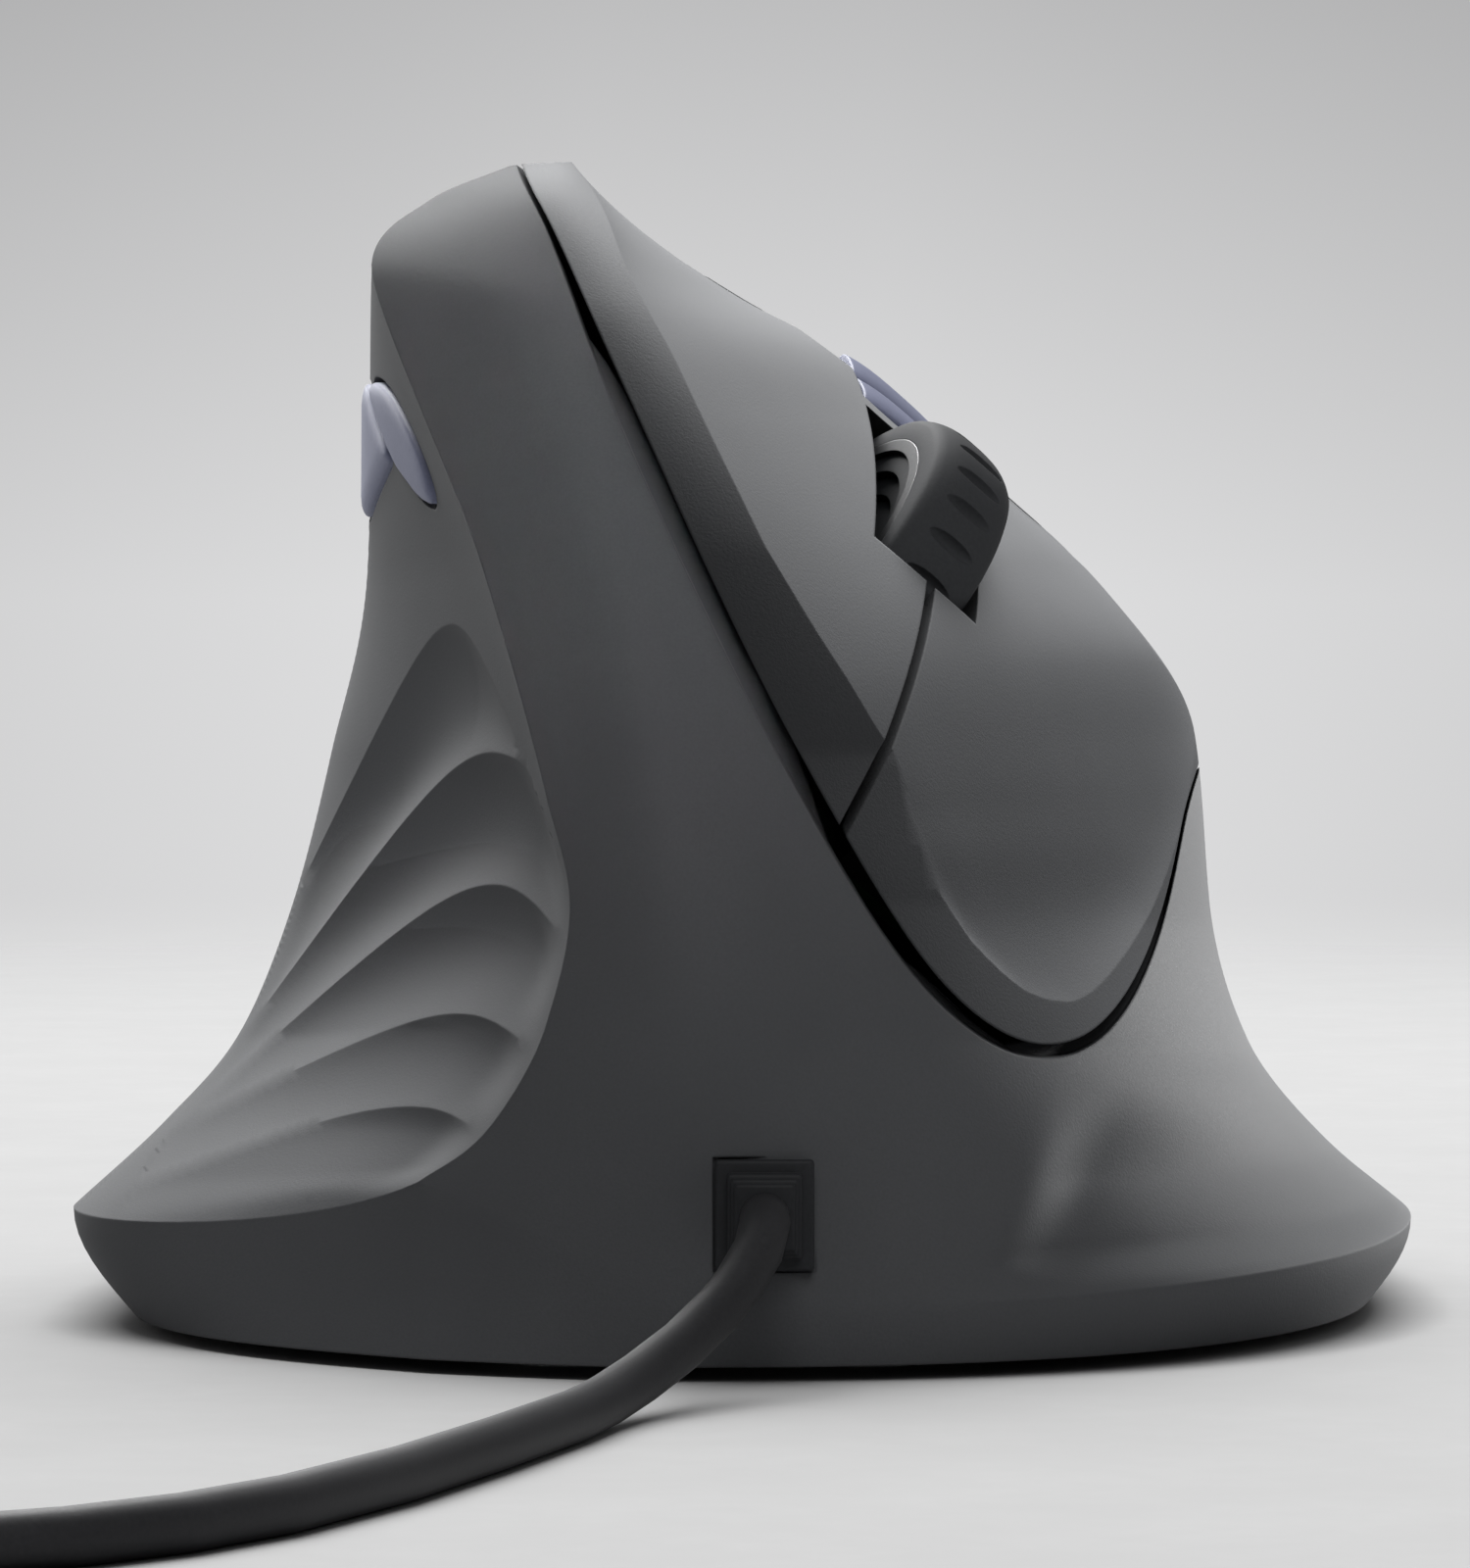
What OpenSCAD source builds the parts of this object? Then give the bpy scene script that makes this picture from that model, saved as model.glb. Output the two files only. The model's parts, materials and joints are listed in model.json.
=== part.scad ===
// Corded vertical mouse, left-hand form: tall leaning body, fluted thumb flank, two long keys.
// Millimetres, +Z up, cord end towards -Y, keys towards +X, thumb side towards -X.

/* [Body] */
// Wall of the moulded shell, taken towards the middle of each section
shell_wall = 2.6; // [2:0.1:3]
// Height of the glide feet under the base
foot_h = 0.8; // [0.5:0.1:1]
// Thickness of the base plate
base_t = 2; // [1.6:0.1:2.4]
// Width of the rim that stays round the base plate
base_rim = 1.4; // [1:0.1:1.8]
// Hairline seam between fixed mouldings
seam = 0.25; // [0.15:0.05:0.35]
// Depth of the hollow in the skirt on the key side
fold_depth = 2.2; // [1:0.1:2.6]
// Depth of the thumb flutes
flute_depth = 1.2; // [0.6:0.1:1.4]

/* [Finger deck] */
// Thickness of the keys across the deck, along X
deck_t = 3.1; // [2.6:0.1:3.4]
// Open gap under the keys at its widest, along X
deck_gap = 1.6; // [1.3:0.1:1.8]
// Gap between the two keys
key_split = 0.7; // [0.5:0.1:1]
// Distance behind the middle at which the keys end
key_end = 8; // [7:0.5:9]
// Length of the palm cover behind the keys
palm_len = 22; // [18:1:24]
// Diameter of the hinge rod that carries both keys
rod_d = 2.5; // [2:0.1:3]
// Radial running clearance of the hinge rod
rod_fit = 0.06; // [0.03:0.01:0.1]
// Diameter of the posts under the keys
post_d = 3; // [2.5:0.1:3.5]

/* [Wheel] */
// Diameter of the wheel over its tyre
wheel_d = 24; // [22:0.5:25]
// Width of the wheel
wheel_w = 6.4; // [5.6:0.2:6.8]
// Height of the tyre above the deck
wheel_proud = 4.5; // [4:0.1:5]
// Thickness of the rubber tyre
tyre_t = 2.4; // [1.8:0.1:3]
// Diameter of the wheel axle
axle_d = 2.4; // [2:0.1:2.8]
// Radial running clearance of the axle
axle_fit = 0.05; // [0.03:0.01:0.1]
// Free space round the tyre under the keys and over its carrier
wheel_clear = 0.6; // [0.5:0.1:0.9]
// Free space each side of the wheel in its slot
slot_side = 0.6; // [0.4:0.1:0.8]
// More room beside the wheel on the thumb side
slot_left = 0.9; // [0.5:0.1:1.2]
// Travel of the wheel when it is pressed
wheel_press = 0.5; // [0.3:0.1:0.6]

/* [Small buttons] */
// Length of each speed button, across the deck
dpi_l = 8.8; // [8:0.2:10]
// Width of each speed button, along the deck
dpi_w = 5.2; // [4.6:0.2:5.4]
// Height of the speed buttons above the deck
dpi_proud = 0.4; // [0.3:0.1:0.8]
// Travel of the speed buttons
dpi_press = 0.4; // [0.3:0.1:0.5]
// Height of the thumb buttons above the flank
side_proud = 0.55; // [0.4:0.05:0.8]
// Thickness of the thumb buttons below the flank
side_deep = 2.6; // [2.2:0.1:3]
// Travel of the thumb buttons
side_press = 0.5; // [0.3:0.1:0.6]
// Clearance round every small button
button_gap = 0.35; // [0.25:0.05:0.45]

/* [Boards] */
// Thickness of the circuit boards
board_t = 1.6; // [1.2:0.1:1.8]
// Height of the main board above the base plate
board_lift = 5; // [4.5:0.1:6]
// Thickness of the inner frame plate
frame_t = 2; // [1.6:0.1:2.4]
// Diameter of the inner frame legs
leg_d = 5; // [4.5:0.1:6]
// Shank diameter of the screws
screw_d = 2; // [1.8:0.1:2.4]
// Head diameter of the screws
head_d = 4; // [3.6:0.1:4.4]

/* [Cord] */
// Diameter of the cord
cord_d = 2.9; // [2.6:0.1:3.1]
// Free space between the turns of the coil
coil_gap = 0.5; // [0.45:0.05:0.7]
// Inner radius of the coil, to the middle of the cord
coil_in = 11.2; // [10:0.1:12]
// Width of the strap that ties the coil
tie_w = 8; // [5:0.5:10]
// Thickness of the strap
tie_t = 0.6; // [0.4:0.1:0.7]

/* [Hidden] */
$fn = 48;
eps = 0.01;
far = 70;

black = "#2b2c2e";
charcoal = "#3a3b3d";
lavender = "#8f91a1";
rubber = "#1d1d1f";
steel = "#b9bcc0";
green = "#2f5d3a";

// Five rails carry the body: crease on the thumb side, nose, key side, tail and thumb flank.
// Each has ten stations from the floor edge, through the wing edge, up to the top.
crease = [[-19.2, -52.6, 0.8], [-19.5, -49.6, 10.9], [-16, -51, 13.4], [-12, -52.4, 20.1], [-10.6, -51.4, 27],
          [-12.2, -48, 34], [-16.1, -40.5, 47], [-23.5, -23, 65.6], [-20.2, -17, 69.9], [-15.2, -15, 72.2]];
nose = [[-4, -57.2, 0.8], [-4, -57.6, 4.2], [-4, -57.4, 12], [-4, -56.6, 20], [-4.5, -55, 28],
        [-6, -52, 36], [-8, -46.8, 48], [-11, -36, 63], [-12.8, -26, 70], [-13, -17, 72.3]];
right = [[39.7, -3, 0.8], [42.3, -3, 5.8], [37.6, 1, 9.7], [32.5, 3, 16.2], [30.3, 5, 23.7],
         [29.2, 6, 36], [21.6, 6, 47.4], [1.9, 6, 63.4], [-7.5, 3, 69.7], [-10.6, -9, 72.6]];
tail = [[1, 57, 0.8], [1, 59.5, 6], [1, 58.5, 12], [0, 56, 20], [-1, 52, 29],
        [-2, 46, 38], [-6, 35, 50], [-10, 17, 64], [-12, 3, 70], [-13, -7, 72.4]];
flank = [[-38.5, -19, 0.8], [-42.3, -19, 7.1], [-37, -14, 12], [-32.8, -9, 17], [-29.7, -3, 25],
         [-27.3, 1, 35], [-25, 1, 46], [-24.2, -5, 65.5], [-20, -7, 70.7], [-15.4, -9, 72.2]];
// How flat the nose leaves the crease
nose_flat = 0.62;
// Fullness of the front right arc at each station
round_fr = [2.3, 2.3, 2.1, 1.9, 1.85, 1.9, 2.3, 2.3, 2.3, 2.3];
// Thumb flank curve at each station: pull at its back end, inset and pull at the crease
pull = [[0.6, 0.42, 0.18], [0.6, 0.3, 0.25], [0.42, 0.24, 0.3], [0.28, 0.2, 0.33], [0.27, 0.18, 0.33],
        [0.27, 0.18, 0.33], [0.27, 0.2, 0.33], [0.3, 0.3, 0.3], [0.3, 0.3, 0.3], [0.3, 0.3, 0.3]];
// Thumb ridges: peak x and z, slope to the wing, slope to the crease, roundness of the peak
ridges = [[-18.3, 43.4, 2, 2.8, 2.5], [-15.5, 35.7, 1.4, 1.2, 4], [-15.1, 27.8, 0.94, 1.7, 4.5],
          [-16.8, 20.2, 0.53, 0.9, 4], [-19.3, 14.8, 0.41, 0.9, 5], [-24.2, 9.8, 0.31, 0.5, 3]];
// Finger face: height, reach to the key side at its fullest line, fall towards the nose
face = [[10, 43, 27.5], [18, 37, 25.8], [22, 34.2, 24.3], [26, 32, 23.6], [30, 31, 23.5], [33, 30.3, 23.7],
        [36, 29.4, 23.7], [41, 27.6, 23.9], [47.4, 21.6, 21.2], [51, 17.4, 18.8], [56, 11.9, 15.75],
        [60.7, 6.7, 12.6], [64.8, -1, 6.75], [68.7, -6.8, 2.6], [72.7, -11.5, 0]];
// Front edge of the finger face by height
brow = [[10, -55], [30, -51], [45, -47.5], [55, -42.5], [62, -36.5], [68, -29], [74, -21]];
full_y = 6;
face_power = 1.8;
// Share of the key thickness by height
thick = [[16, 0.75], [30, 0.8], [36, 0.87], [44, 1], [56, 0.87], [66, 1], [73, 2]];
// Lower edge of the finger face over y, and the dish above it
rim = [[-47, 27], [-46.2, 24.7], [-45.2, 23], [-44, 21.7], [-42.3, 21.2], [-39.9, 21], [-37.5, 21.4],
       [-34.3, 22.3], [-30.3, 23.6], [-25.8, 25.2], [-22, 27.1], [-17.7, 29.2], [-14.4, 30.9],
       [-10.8, 32.8], [8, 42]];
dish_depth = 0.55;
dish_len = 3;
// Outline of the keys and of the opening round them, across an axis turned a little from y
edge_turn = -3;
key_edge = [[-16.05, 76], [-13.91, 72.77], [-12.16, 70.19], [-10.81, 68.06], [-9.61, 65.84], [-8.4, 63.43],
            [-7.16, 60.92], [-5.91, 58.41], [-4.66, 55.91], [-3.45, 53.45], [-2.31, 51.09], [-1.22, 48.83],
            [-0.13, 46.6], [1.01, 44.31], [2.18, 41.98], [3.37, 39.67], [4.57, 37.41], [5.81, 35.16],
            [7.08, 32.87], [8.39, 30.57], [9.69, 28.34], [10.96, 26.27], [12.18, 24.44], [13.34, 22.91],
            [14.48, 21.64], [15.61, 20.58], [16.73, 19.73], [17.84, 19.09], [18.98, 18.68], [20.12, 18.53],
            [21.22, 18.65], [22.22, 19.02], [23.15, 19.66], [24.04, 20.56], [24.86, 21.68], [25.6, 23],
            [26.24, 24.49], [26.8, 26.12], [27.29, 27.88], [27.71, 29.7], [28.11, 31.52], [28.69, 33.29],
            [29.52, 35]];
sill_edge = [[-16.3, 75.83], [-14.16, 72.6], [-12.41, 70.03], [-11.09, 67.89], [-10.01, 65.64],
             [-8.94, 63.16], [-7.87, 60.57], [-6.76, 57.98], [-5.65, 55.42], [-4.49, 52.95],
             [-3.35, 50.59], [-2.26, 48.33], [-1.16, 46.09], [-0.02, 43.8], [1.16, 41.46], [2.35, 39.14],
             [3.56, 36.86], [4.8, 34.6], [6.08, 32.31], [7.39, 30], [8.73, 27.76], [10.04, 25.67],
             [11.33, 23.83], [12.57, 22.27], [13.8, 20.97], [15.01, 19.88], [16.23, 18.98], [17.47, 18.29],
             [18.77, 17.85], [20.11, 17.7], [21.4, 17.87], [22.57, 18.36], [23.59, 19.14], [24.5, 20.17],
             [25.28, 21.41], [25.97, 22.81], [26.57, 24.36], [27.07, 26.04], [27.51, 27.82], [27.9, 29.66],
             [28.3, 31.47], [28.87, 33.21], [29.7, 34.91]];

// Deck axes at the wheel: leaning, nodding and turned about its own normal
deck_lean = 46;
deck_nod = 17;
deck_turn = 17;
deck_y = -23.2;
deck_z = 50.4;
deck_x = 11.2;

base_top = foot_h + base_t;
board_z = base_top + board_lift;
board_top = board_z + board_t;
rod_v = 29;
rod_w = -12;
knuckle = rod_d + 3;
frame_w = -18.5;
keyboard_w = -17;
keyboard_top = keyboard_w + board_t;
switch_h = 6.5;
plunger_h = 0.8;
tact_h = 2.4;
switch_v = -12;
switch_u = 9;
wheel_c = wheel_proud - wheel_d/2;
cheek_u = wheel_w/2 + slot_side + 0.3;
cheek_t = 1.4;
cheek_top = 3.4;
bridge_t = 1.6;
carrier_w = wheel_c - wheel_d/2 - wheel_clear - 0.8 - bridge_t;
dpi_v = [15.4, 15.4 + dpi_w + 0.6];
dpi_w0 = [-1.3, -2.25];
dpi_tilt = -9;
side_board_x = -15;
side_mid = [[-20, 55], [1, 54.6]];
gland_x = 0.7;
gland_z = 9.6;
gland_front = -59.5;
gland_wall = -57;
gland_w = 5.7;
gland_h = 6.4;
arm_bay = [0, 2.6, 56];

function lift(a, b, u) = a + (b - a)*u;
function smooth(u) = let (v = max(0, min(1, u))) v*v*(3 - 2*v);
function pair(a, b) = a*b <= 0 ? 0 : 2*a*b/(a + b);
function rise(v, i) = i == 0 ? v[1] - v[0] : i == len(v) - 1 ? v[i] - v[i - 1]
    : pair(v[i] - v[i - 1], v[i + 1] - v[i]);
// Smooth value between evenly numbered stations, without overshoot
function flow(v, t) = let (k = min(floor(t), len(v) - 2), u = t - k)
    (1 + 2*u)*(1 - u)^2*v[k] + u*(1 - u)^2*rise(v, k) + u*u*(3 - 2*u)*v[k + 1] + u*u*(u - 1)*rise(v, k + 1);
function along(rail, t) = t < 1
    ? let (w = sin(90*t), a = rail[0], b = rail[1]) [lift(a.x, b.x, w), lift(a.y, b.y, w), lift(a.z, b.z, t)]
    : [for (c = [0:2]) flow([for (i = [1:len(rail) - 1]) rail[i][c]], t - 1)];
function step_value(v, t) = let (k = min(floor(t), len(v) - 2)) lift(v[k], v[k + 1], t - k);

function grade(tab, c, i) = (tab[i + 1][c] - tab[i][c])/(tab[i + 1][0] - tab[i][0]);
function bend(tab, c, i) = i == 0 ? grade(tab, c, 0) : i == len(tab) - 1 ? grade(tab, c, i - 1)
    : let (a = grade(tab, c, i - 1), b = grade(tab, c, i), h = tab[i][0] - tab[i - 1][0],
           g = tab[i + 1][0] - tab[i][0])
      a*b <= 0 ? 0 : 3*(h + g)/((2*g + h)/a + (g + 2*h)/b);
function place(tab, z) = max([for (i = [0:len(tab) - 2]) if (i == 0 || tab[i][0] <= z) i]);
// Smooth value from a table with uneven heights
function read(tab, c, z) = let (q = max(tab[0][0], min(tab[len(tab) - 1][0], z)), i = place(tab, q),
    h = tab[i + 1][0] - tab[i][0], u = (q - tab[i][0])/h)
    (1 + 2*u)*(1 - u)^2*tab[i][c] + u*(1 - u)^2*h*bend(tab, c, i)
    + u*u*(3 - 2*u)*tab[i + 1][c] + u*u*(u - 1)*h*bend(tab, c, i + 1);

// Finger face as x over y and z, and the two surfaces under it
function ahead(y, z) = max(0, min(1.4, (full_y - y)/(full_y - read(brow, 1, z))));
function face_x(y, z) = read(face, 1, z) - read(face, 2, z)*pow(ahead(y, z), face_power)
    + 0.2*max(0, y - full_y) - dish(y, z);
function dish(y, z) = let (h = (z - lookup(y, rim))/dish_len, a = min(1, ahead(y, z)))
    dish_depth*(h < 0 ? exp(1)*h : h*exp(1 - h))*(1 - pow(a, 6))*smooth((a - 0.15)/0.35)
    *(1 - smooth((z - 34)/14));
function under_x(y, z) = face_x(y, z)
    - deck_t*lookup(z, thick)*(1 + 0.22*smooth((ahead(y, z) - 0.8)/0.15));
function sill_x(y, z) = under_x(y, z) - deck_gap;

// Depth of the thumb flutes: a scallop between each ridge and the next
function ridge_z(r, x) = let (d = x - r[0]) r[1] - (d < 0 ? r[2] : r[3])*(sqrt(d*d + r[4]*r[4]) - r[4]);
function flute(x, z, u) = let (
    h = [for (r = ridges) ridge_z(r, x)],
    k = len([for (v = h) if (v > z) 1]) - 1,
    span = k < 0 ? 1 : k < len(h) - 1 ? h[k] - h[k + 1] : 3,
    s = k < 0 ? 0 : min(1, (h[k] - z)/max(span, 0.4)),
    fade = smooth((u - 0.02)/0.16)*smooth((0.99 - u)/0.16))
    flute_depth*fade*4*s*(1 - s)*min(1, span/8);

// Depth of the soft hollow in the skirt on the key side
function fold(u, t) = fold_depth*smooth((u - lift(0.26, 0.41, (t - 1.7)/1.2))/0.12)*smooth((1 - u)/0.55)
    *smooth((t - 1)/0.35)*smooth((2.8 - t)/0.9);

// One section of the body: crease, nose, key side, tail, thumb flank
function super(u, p) = [pow(sin(90*u), 2/p), pow(cos(90*u), 2/p)];
function section(t, n) = let (
    l = along(crease, t), m = along(nose, t), e = along(right, t), k = along(tail, t), f = along(flank, t),
    pf = step_value(pull, t),
    cx = lift(l.x, m.x, nose_flat),
    span = [e.x - m.x, e.y - m.y],
    hollow = [-span.y, span.x]/norm(span),
    a = [f.x, f.y + pf[0]*(l.y - f.y)],
    b = [l.x - pf[1]*(l.x - f.x), l.y - pf[2]*(l.y - f.y)],
    chord = [l.x - f.x, l.y - f.y],
    inward = [-chord.y, chord.x]/norm(chord))
    concat(
    [for (i = [0:n[0] - 1]) let (u = i/n[0])
        [(1 - u)^2*l.x + 2*u*(1 - u)*cx + u*u*m.x, (1 - u)^2*l.y + (2 - u)*u*m.y, lift(l.z, m.z, u)]],
    [for (i = [0:n[1] - 1]) let (u = i/n[1], s = super(u, step_value(round_fr, t)), d = fold(u, t))
        [lift(m.x, e.x, s[0]) + hollow.x*d, e.y - (e.y - m.y)*s[1] + hollow.y*d, lift(m.z, e.z, smooth(u))]],
    [for (i = [0:n[2] - 1]) let (u = i/n[2], s = super(u, 2.2))
        [lift(k.x, e.x, s[1]), lift(e.y, k.y, s[0]), lift(e.z, k.z, smooth(u))]],
    [for (i = [0:n[3] - 1]) let (u = i/n[3], s = super(u, 2.2))
        [lift(k.x, f.x, s[0]), lift(f.y, k.y, s[1]), lift(k.z, f.z, smooth(u))]],
    [for (i = [0:n[4] - 1]) let (u = i/n[4],
        x = (1 - u)^3*f.x + 3*u*(1 - u)^2*a.x + 3*u*u*(1 - u)*b.x + u^3*l.x,
        y = (1 - u)^3*f.y + 3*u*(1 - u)^2*a.y + 3*u*u*(1 - u)*b.y + u^3*l.y,
        z = lift(f.z, l.z, lift(u^3, smooth(u), max(0, min(1, t - 1)))),
        d = t > 1 ? flute(x, z, u)*smooth((t - 1)/0.5) : 0)
        [x + inward.x*d, y + inward.y*d, z]]);
function centre(t) = let (e = along(right, t), f = along(flank, t), m = along(nose, t), k = along(tail, t))
    [(e.x + f.x)/2, (m.y + k.y)/2];
function drawn_in(ring, c, w) = [for (p = ring) let (v = [p.x - c.x, p.y - c.y], s = max(0.05, 1 - w/norm(v)))
    [c.x + v.x*s, c.y + v.y*s, p.z]];
function level(ring, z) = [for (p = ring) [p.x, p.y, z]];
function plan(ring) = [for (p = ring) [p.x, p.y]];
function mean(v, i = 0) = i == len(v) ? [0, 0, 0] : v[i]/len(v) + mean(v, i + 1);

// Skin through rings of equal count, closed at both ends
module loft(rings) {
    n = len(rings[0]);
    m = len(rings);
    points = concat([for (r = rings) for (p = r) p], [mean(rings[0]), mean(rings[m - 1])]);
    sides = [for (j = [0:m - 2]) for (i = [0:n - 1]) let (a = j*n + i, b = j*n + (i + 1)%n)
        each [[a, a + n, b + n], [a, b + n, b]]];
    foot = [for (i = [0:n - 1]) [m*n, i, (i + 1)%n]];
    head = [for (i = [0:n - 1]) [m*n + 1, (m - 1)*n + (i + 1)%n, (m - 1)*n + i]];
    polyhedron(points, concat(sides, foot, head), convexity = 8);
}

// Solid between two surfaces given as x over y and z
module slab(near, beyond, ys, zs) {
    n = len(ys);
    m = len(zs);
    q = n*m;
    points = concat([for (z = zs) for (y = ys) [near(y, z), y, z]],
        [for (z = zs) for (y = ys) [beyond(y, z), y, z]]);
    sheet = [for (j = [0:m - 2]) for (i = [0:n - 2]) let (a = j*n + i, b = a + 1, c = a + n + 1, d = a + n)
        each [[a, b, c], [a, c, d], [q + a, q + c, q + b], [q + a, q + d, q + c]]];
    ends = [for (j = [0:m - 2]) let (a = j*n, b = a + n, c = a + n - 1, d = c + n)
        each [[a, b, q + b], [a, q + b, q + a], [c, q + d, d], [c, q + c, q + d]]];
    caps = [for (i = [0:n - 2]) let (a = i, b = (m - 1)*n + i)
        each [[a, q + a + 1, a + 1], [a, q + a, q + a + 1], [b, b + 1, q + b + 1], [b, q + b + 1, q + b]]];
    polyhedron(points, concat(sheet, ends, caps), convexity = 8);
}

arcs = [5, 18, 9, 8, 14];
levels = concat([0, 0.35, 0.7], [for (i = [0:24]) 1 + 0.2*i],
    [6.25, 6.5, 6.75, 7, 7.3, 7.7, 8, 8.5, 9]);
module form() loft([for (t = levels) section(t, arcs)]);

inner_arcs = [4, 8, 6, 6, 8];
module cavity() loft(concat(
    [level(drawn_in(section(0, inner_arcs), centre(0), shell_wall + base_rim), base_top + seam/2),
     level(drawn_in(section(0.6, inner_arcs), centre(0.6), shell_wall + 0.6), base_top + 0.9)],
    [for (t = [1, 1.6, 2.2, 3, 3.8, 4.6, 5.4, 6.2, 6.8, 7.3])
        drawn_in(section(t, inner_arcs), centre(t), shell_wall)]));

base_arcs = [6, 12, 10, 10, 10];
function base_outline(w) = plan(drawn_in(section(0, base_arcs), centre(0), w));

deck_ys = [for (i = [0:23]) -62 + i*70/23];
deck_zs = [for (i = [0:25]) 15.5 + i*60.5/25];
function wide(y, z) = far;
function narrow(y, z) = -far;

module deck() translate([deck_x, deck_y, deck_z]) rotate([0, deck_lean, 0]) rotate([deck_nod, 0, 0])
    rotate([0, 0, deck_turn]) children();

// Block with rounded upright edges, standing on z = 0
module pad(l, w, h, r) {
    translate([-l/2 + r, -w/2, 0]) cube([l - 2*r, w, h]);
    translate([-l/2, -w/2 + r, 0]) cube([l, w - 2*r, h]);
    for (x = [-1, 1]) for (y = [-1, 1]) translate([x*(l/2 - r), y*(w/2 - r), 0]) cylinder(r = r, h = h);
}

module block(l, w, h) translate([-l/2, -w/2, 0]) cube([l, w, h]);

boss_at = [[-25, -16], [26, -14], [-15, 36], [17, 36]];
side_boss_at = [[-9, 49.5], [7, 50]];

// Space above the palm seam behind the keys
module palm_space(gap) translate([-14.5, key_end + gap, 71.5]) rotate([0, 41.3, 0])
    translate([-10, 0, gap]) cube([90, palm_len - 2*gap, 40]);

// Thumb buttons as seen from the thumb side: y and z
forward_shape = [[-29, 50.6], [-28, 53.2], [-24, 56.2], [-18, 58.4], [-9.4, 58.8], [-13, 56.6],
                 [-18.6, 53.2], [-21, 52.4], [-25, 51]];
back_shape = [[-3.5, 50], [-9.5, 51.7], [-14, 53], [-17.3, 53.9], [-12, 56.6], [-8, 58.9], [1, 58.6],
              [7, 57.2], [9.6, 54.6], [6.4, 52], [1.5, 50.7]];
module side_prism(shape, grow) translate([-40, 0, 0]) rotate([90, 0, 90]) linear_extrude(32)
    offset(r = 0.8 + grow) offset(delta = -0.8) polygon(shape);

// Straight prism over one of the key outlines
module edge_prism(edge) rotate([0, 0, edge_turn]) translate([0, 30, 0]) rotate([90, 0, 0])
    linear_extrude(130) polygon(concat([[-24, 88]], edge, [[64, edge[len(edge) - 1][1] + 2], [64, 88]]));

module gland_hole() translate([gland_x, gland_wall, gland_z]) {
    translate([-2.4, -3, -2.7]) cube([4.8, 8, 5.4]);
    translate([-gland_w/2 - seam/2, -3, -gland_h/2 - seam/2]) cube([gland_w + seam, 3, gland_h + seam]);
}

module main_shell() color(charcoal) resize([0, 0, 0]) difference() {
    union() {
        difference() {
            form();
            cavity();
        }
        intersection() {
            form();
            union() {
                for (p = boss_at) translate([p.x, p.y, base_top + seam/2])
                    cylinder(d = head_d + 2.4, h = 60, $fn = 16);
                for (p = side_boss_at) translate([-30, p[0], p[1]]) rotate([0, 90, 0])
                    cylinder(d = 4.5, h = side_board_x + 30, $fn = 16);
            }
        }
    }
    translate([0, 0, -1]) linear_extrude(base_top + 1 + seam/2) polygon(base_outline(base_rim - 0.15));
    intersection() {
        slab(function (y, z) sill_x(y, z), function (y, z) wide(y, z),
            concat([for (y = deck_ys) if (y < key_end - 1) y], [key_end + 0.2]), deck_zs);
        edge_prism(sill_edge);
    }
    palm_space(0);
    gland_hole();
    // Room for the end of the lower key arms, where the wall would be left as a splinter
    translate([arm_bay[0], key_end - arm_bay[1], arm_bay[2]]) cube([10, arm_bay[1] + 0.2, 6.5]);
    side_prism(forward_shape, button_gap);
    side_prism(back_shape, button_gap);
    for (p = boss_at) translate([p.x, p.y, 0]) cylinder(d = screw_d + 0.1, h = base_top + 9, $fn = 16);
}

module palm_cover() color(charcoal) resize([0, 0, 0]) intersection() {
    difference() {
        form();
        cavity();
    }
    palm_space(seam);
    slab(function (y, z) narrow(y, z), function (y, z) face_x(y, z),
        [for (i = [0:6]) key_end - 1 + i*5], deck_zs);
}

module base_plate() color(black) difference() {
    union() {
        translate([0, 0, foot_h]) linear_extrude(base_t) polygon(base_outline(base_rim));
        for (p = board_posts) translate([p.x, p.y, base_top - eps]) cylinder(d = 4.4, h = board_lift + eps);
    }
    translate([lens_at.x, lens_at.y, 0]) block(lens_l, lens_w, base_top + 1);
    for (p = boss_at) translate([p.x, p.y, 0]) screw_way(foot_h, base_top + 1);
    for (p = legs) translate([p.x, p.y, 0]) screw_way(foot_h, base_top + 1);
    for (p = board_posts) translate([p.x, p.y, board_z - 4]) cylinder(d = screw_d, h = 5);
    for (f = feet) translate([f[0], f[1], foot_h - eps]) pad(f[2] + 0.2, f[3] + 0.2, 0.3 + eps, f[3]/2 - 0.2);
}

// Screw hole with a sunk head, from below
module screw_way(z0, z1) {
    translate([0, 0, z0 - eps]) cylinder(d = head_d + 0.3, h = 1 + eps);
    translate([0, 0, z0]) cylinder(d = screw_d + 0.2, h = z1 - z0);
}

// Screw with its head down, head face at z = 0
module screw(l) {
    cylinder(d = head_d, h = 0.9);
    cylinder(d = screw_d, h = l);
}

lens_at = [2, -4];
lens_l = 14;
lens_w = 11;
board_posts = [[-6, -16], [14, -16], [-6, 26], [14, 26]];
legs = [[5.6, -26], [-9, 3], [10, 10]];
feet = [[-2, -46, 24, 6], [1, 47, 26, 6], [-31, -12, 5, 14], [33, 2, 5, 14]];
foot_r = [2.8, 2.8, 2.3, 2.3];

module glide_feet() color("#e8e8e6") for (i = [0:len(feet) - 1])
    translate([feet[i][0], feet[i][1], 0]) pad(feet[i][2], feet[i][3], foot_h + 0.2, foot_r[i]);

module base_screws() color(steel) for (p = boss_at) translate([p.x, p.y, foot_h + 0.05]) screw(base_t + 7);

module frame_screws() color(steel) for (p = legs) translate([p.x, p.y, foot_h + 0.05]) screw(base_t + 5);

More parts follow.
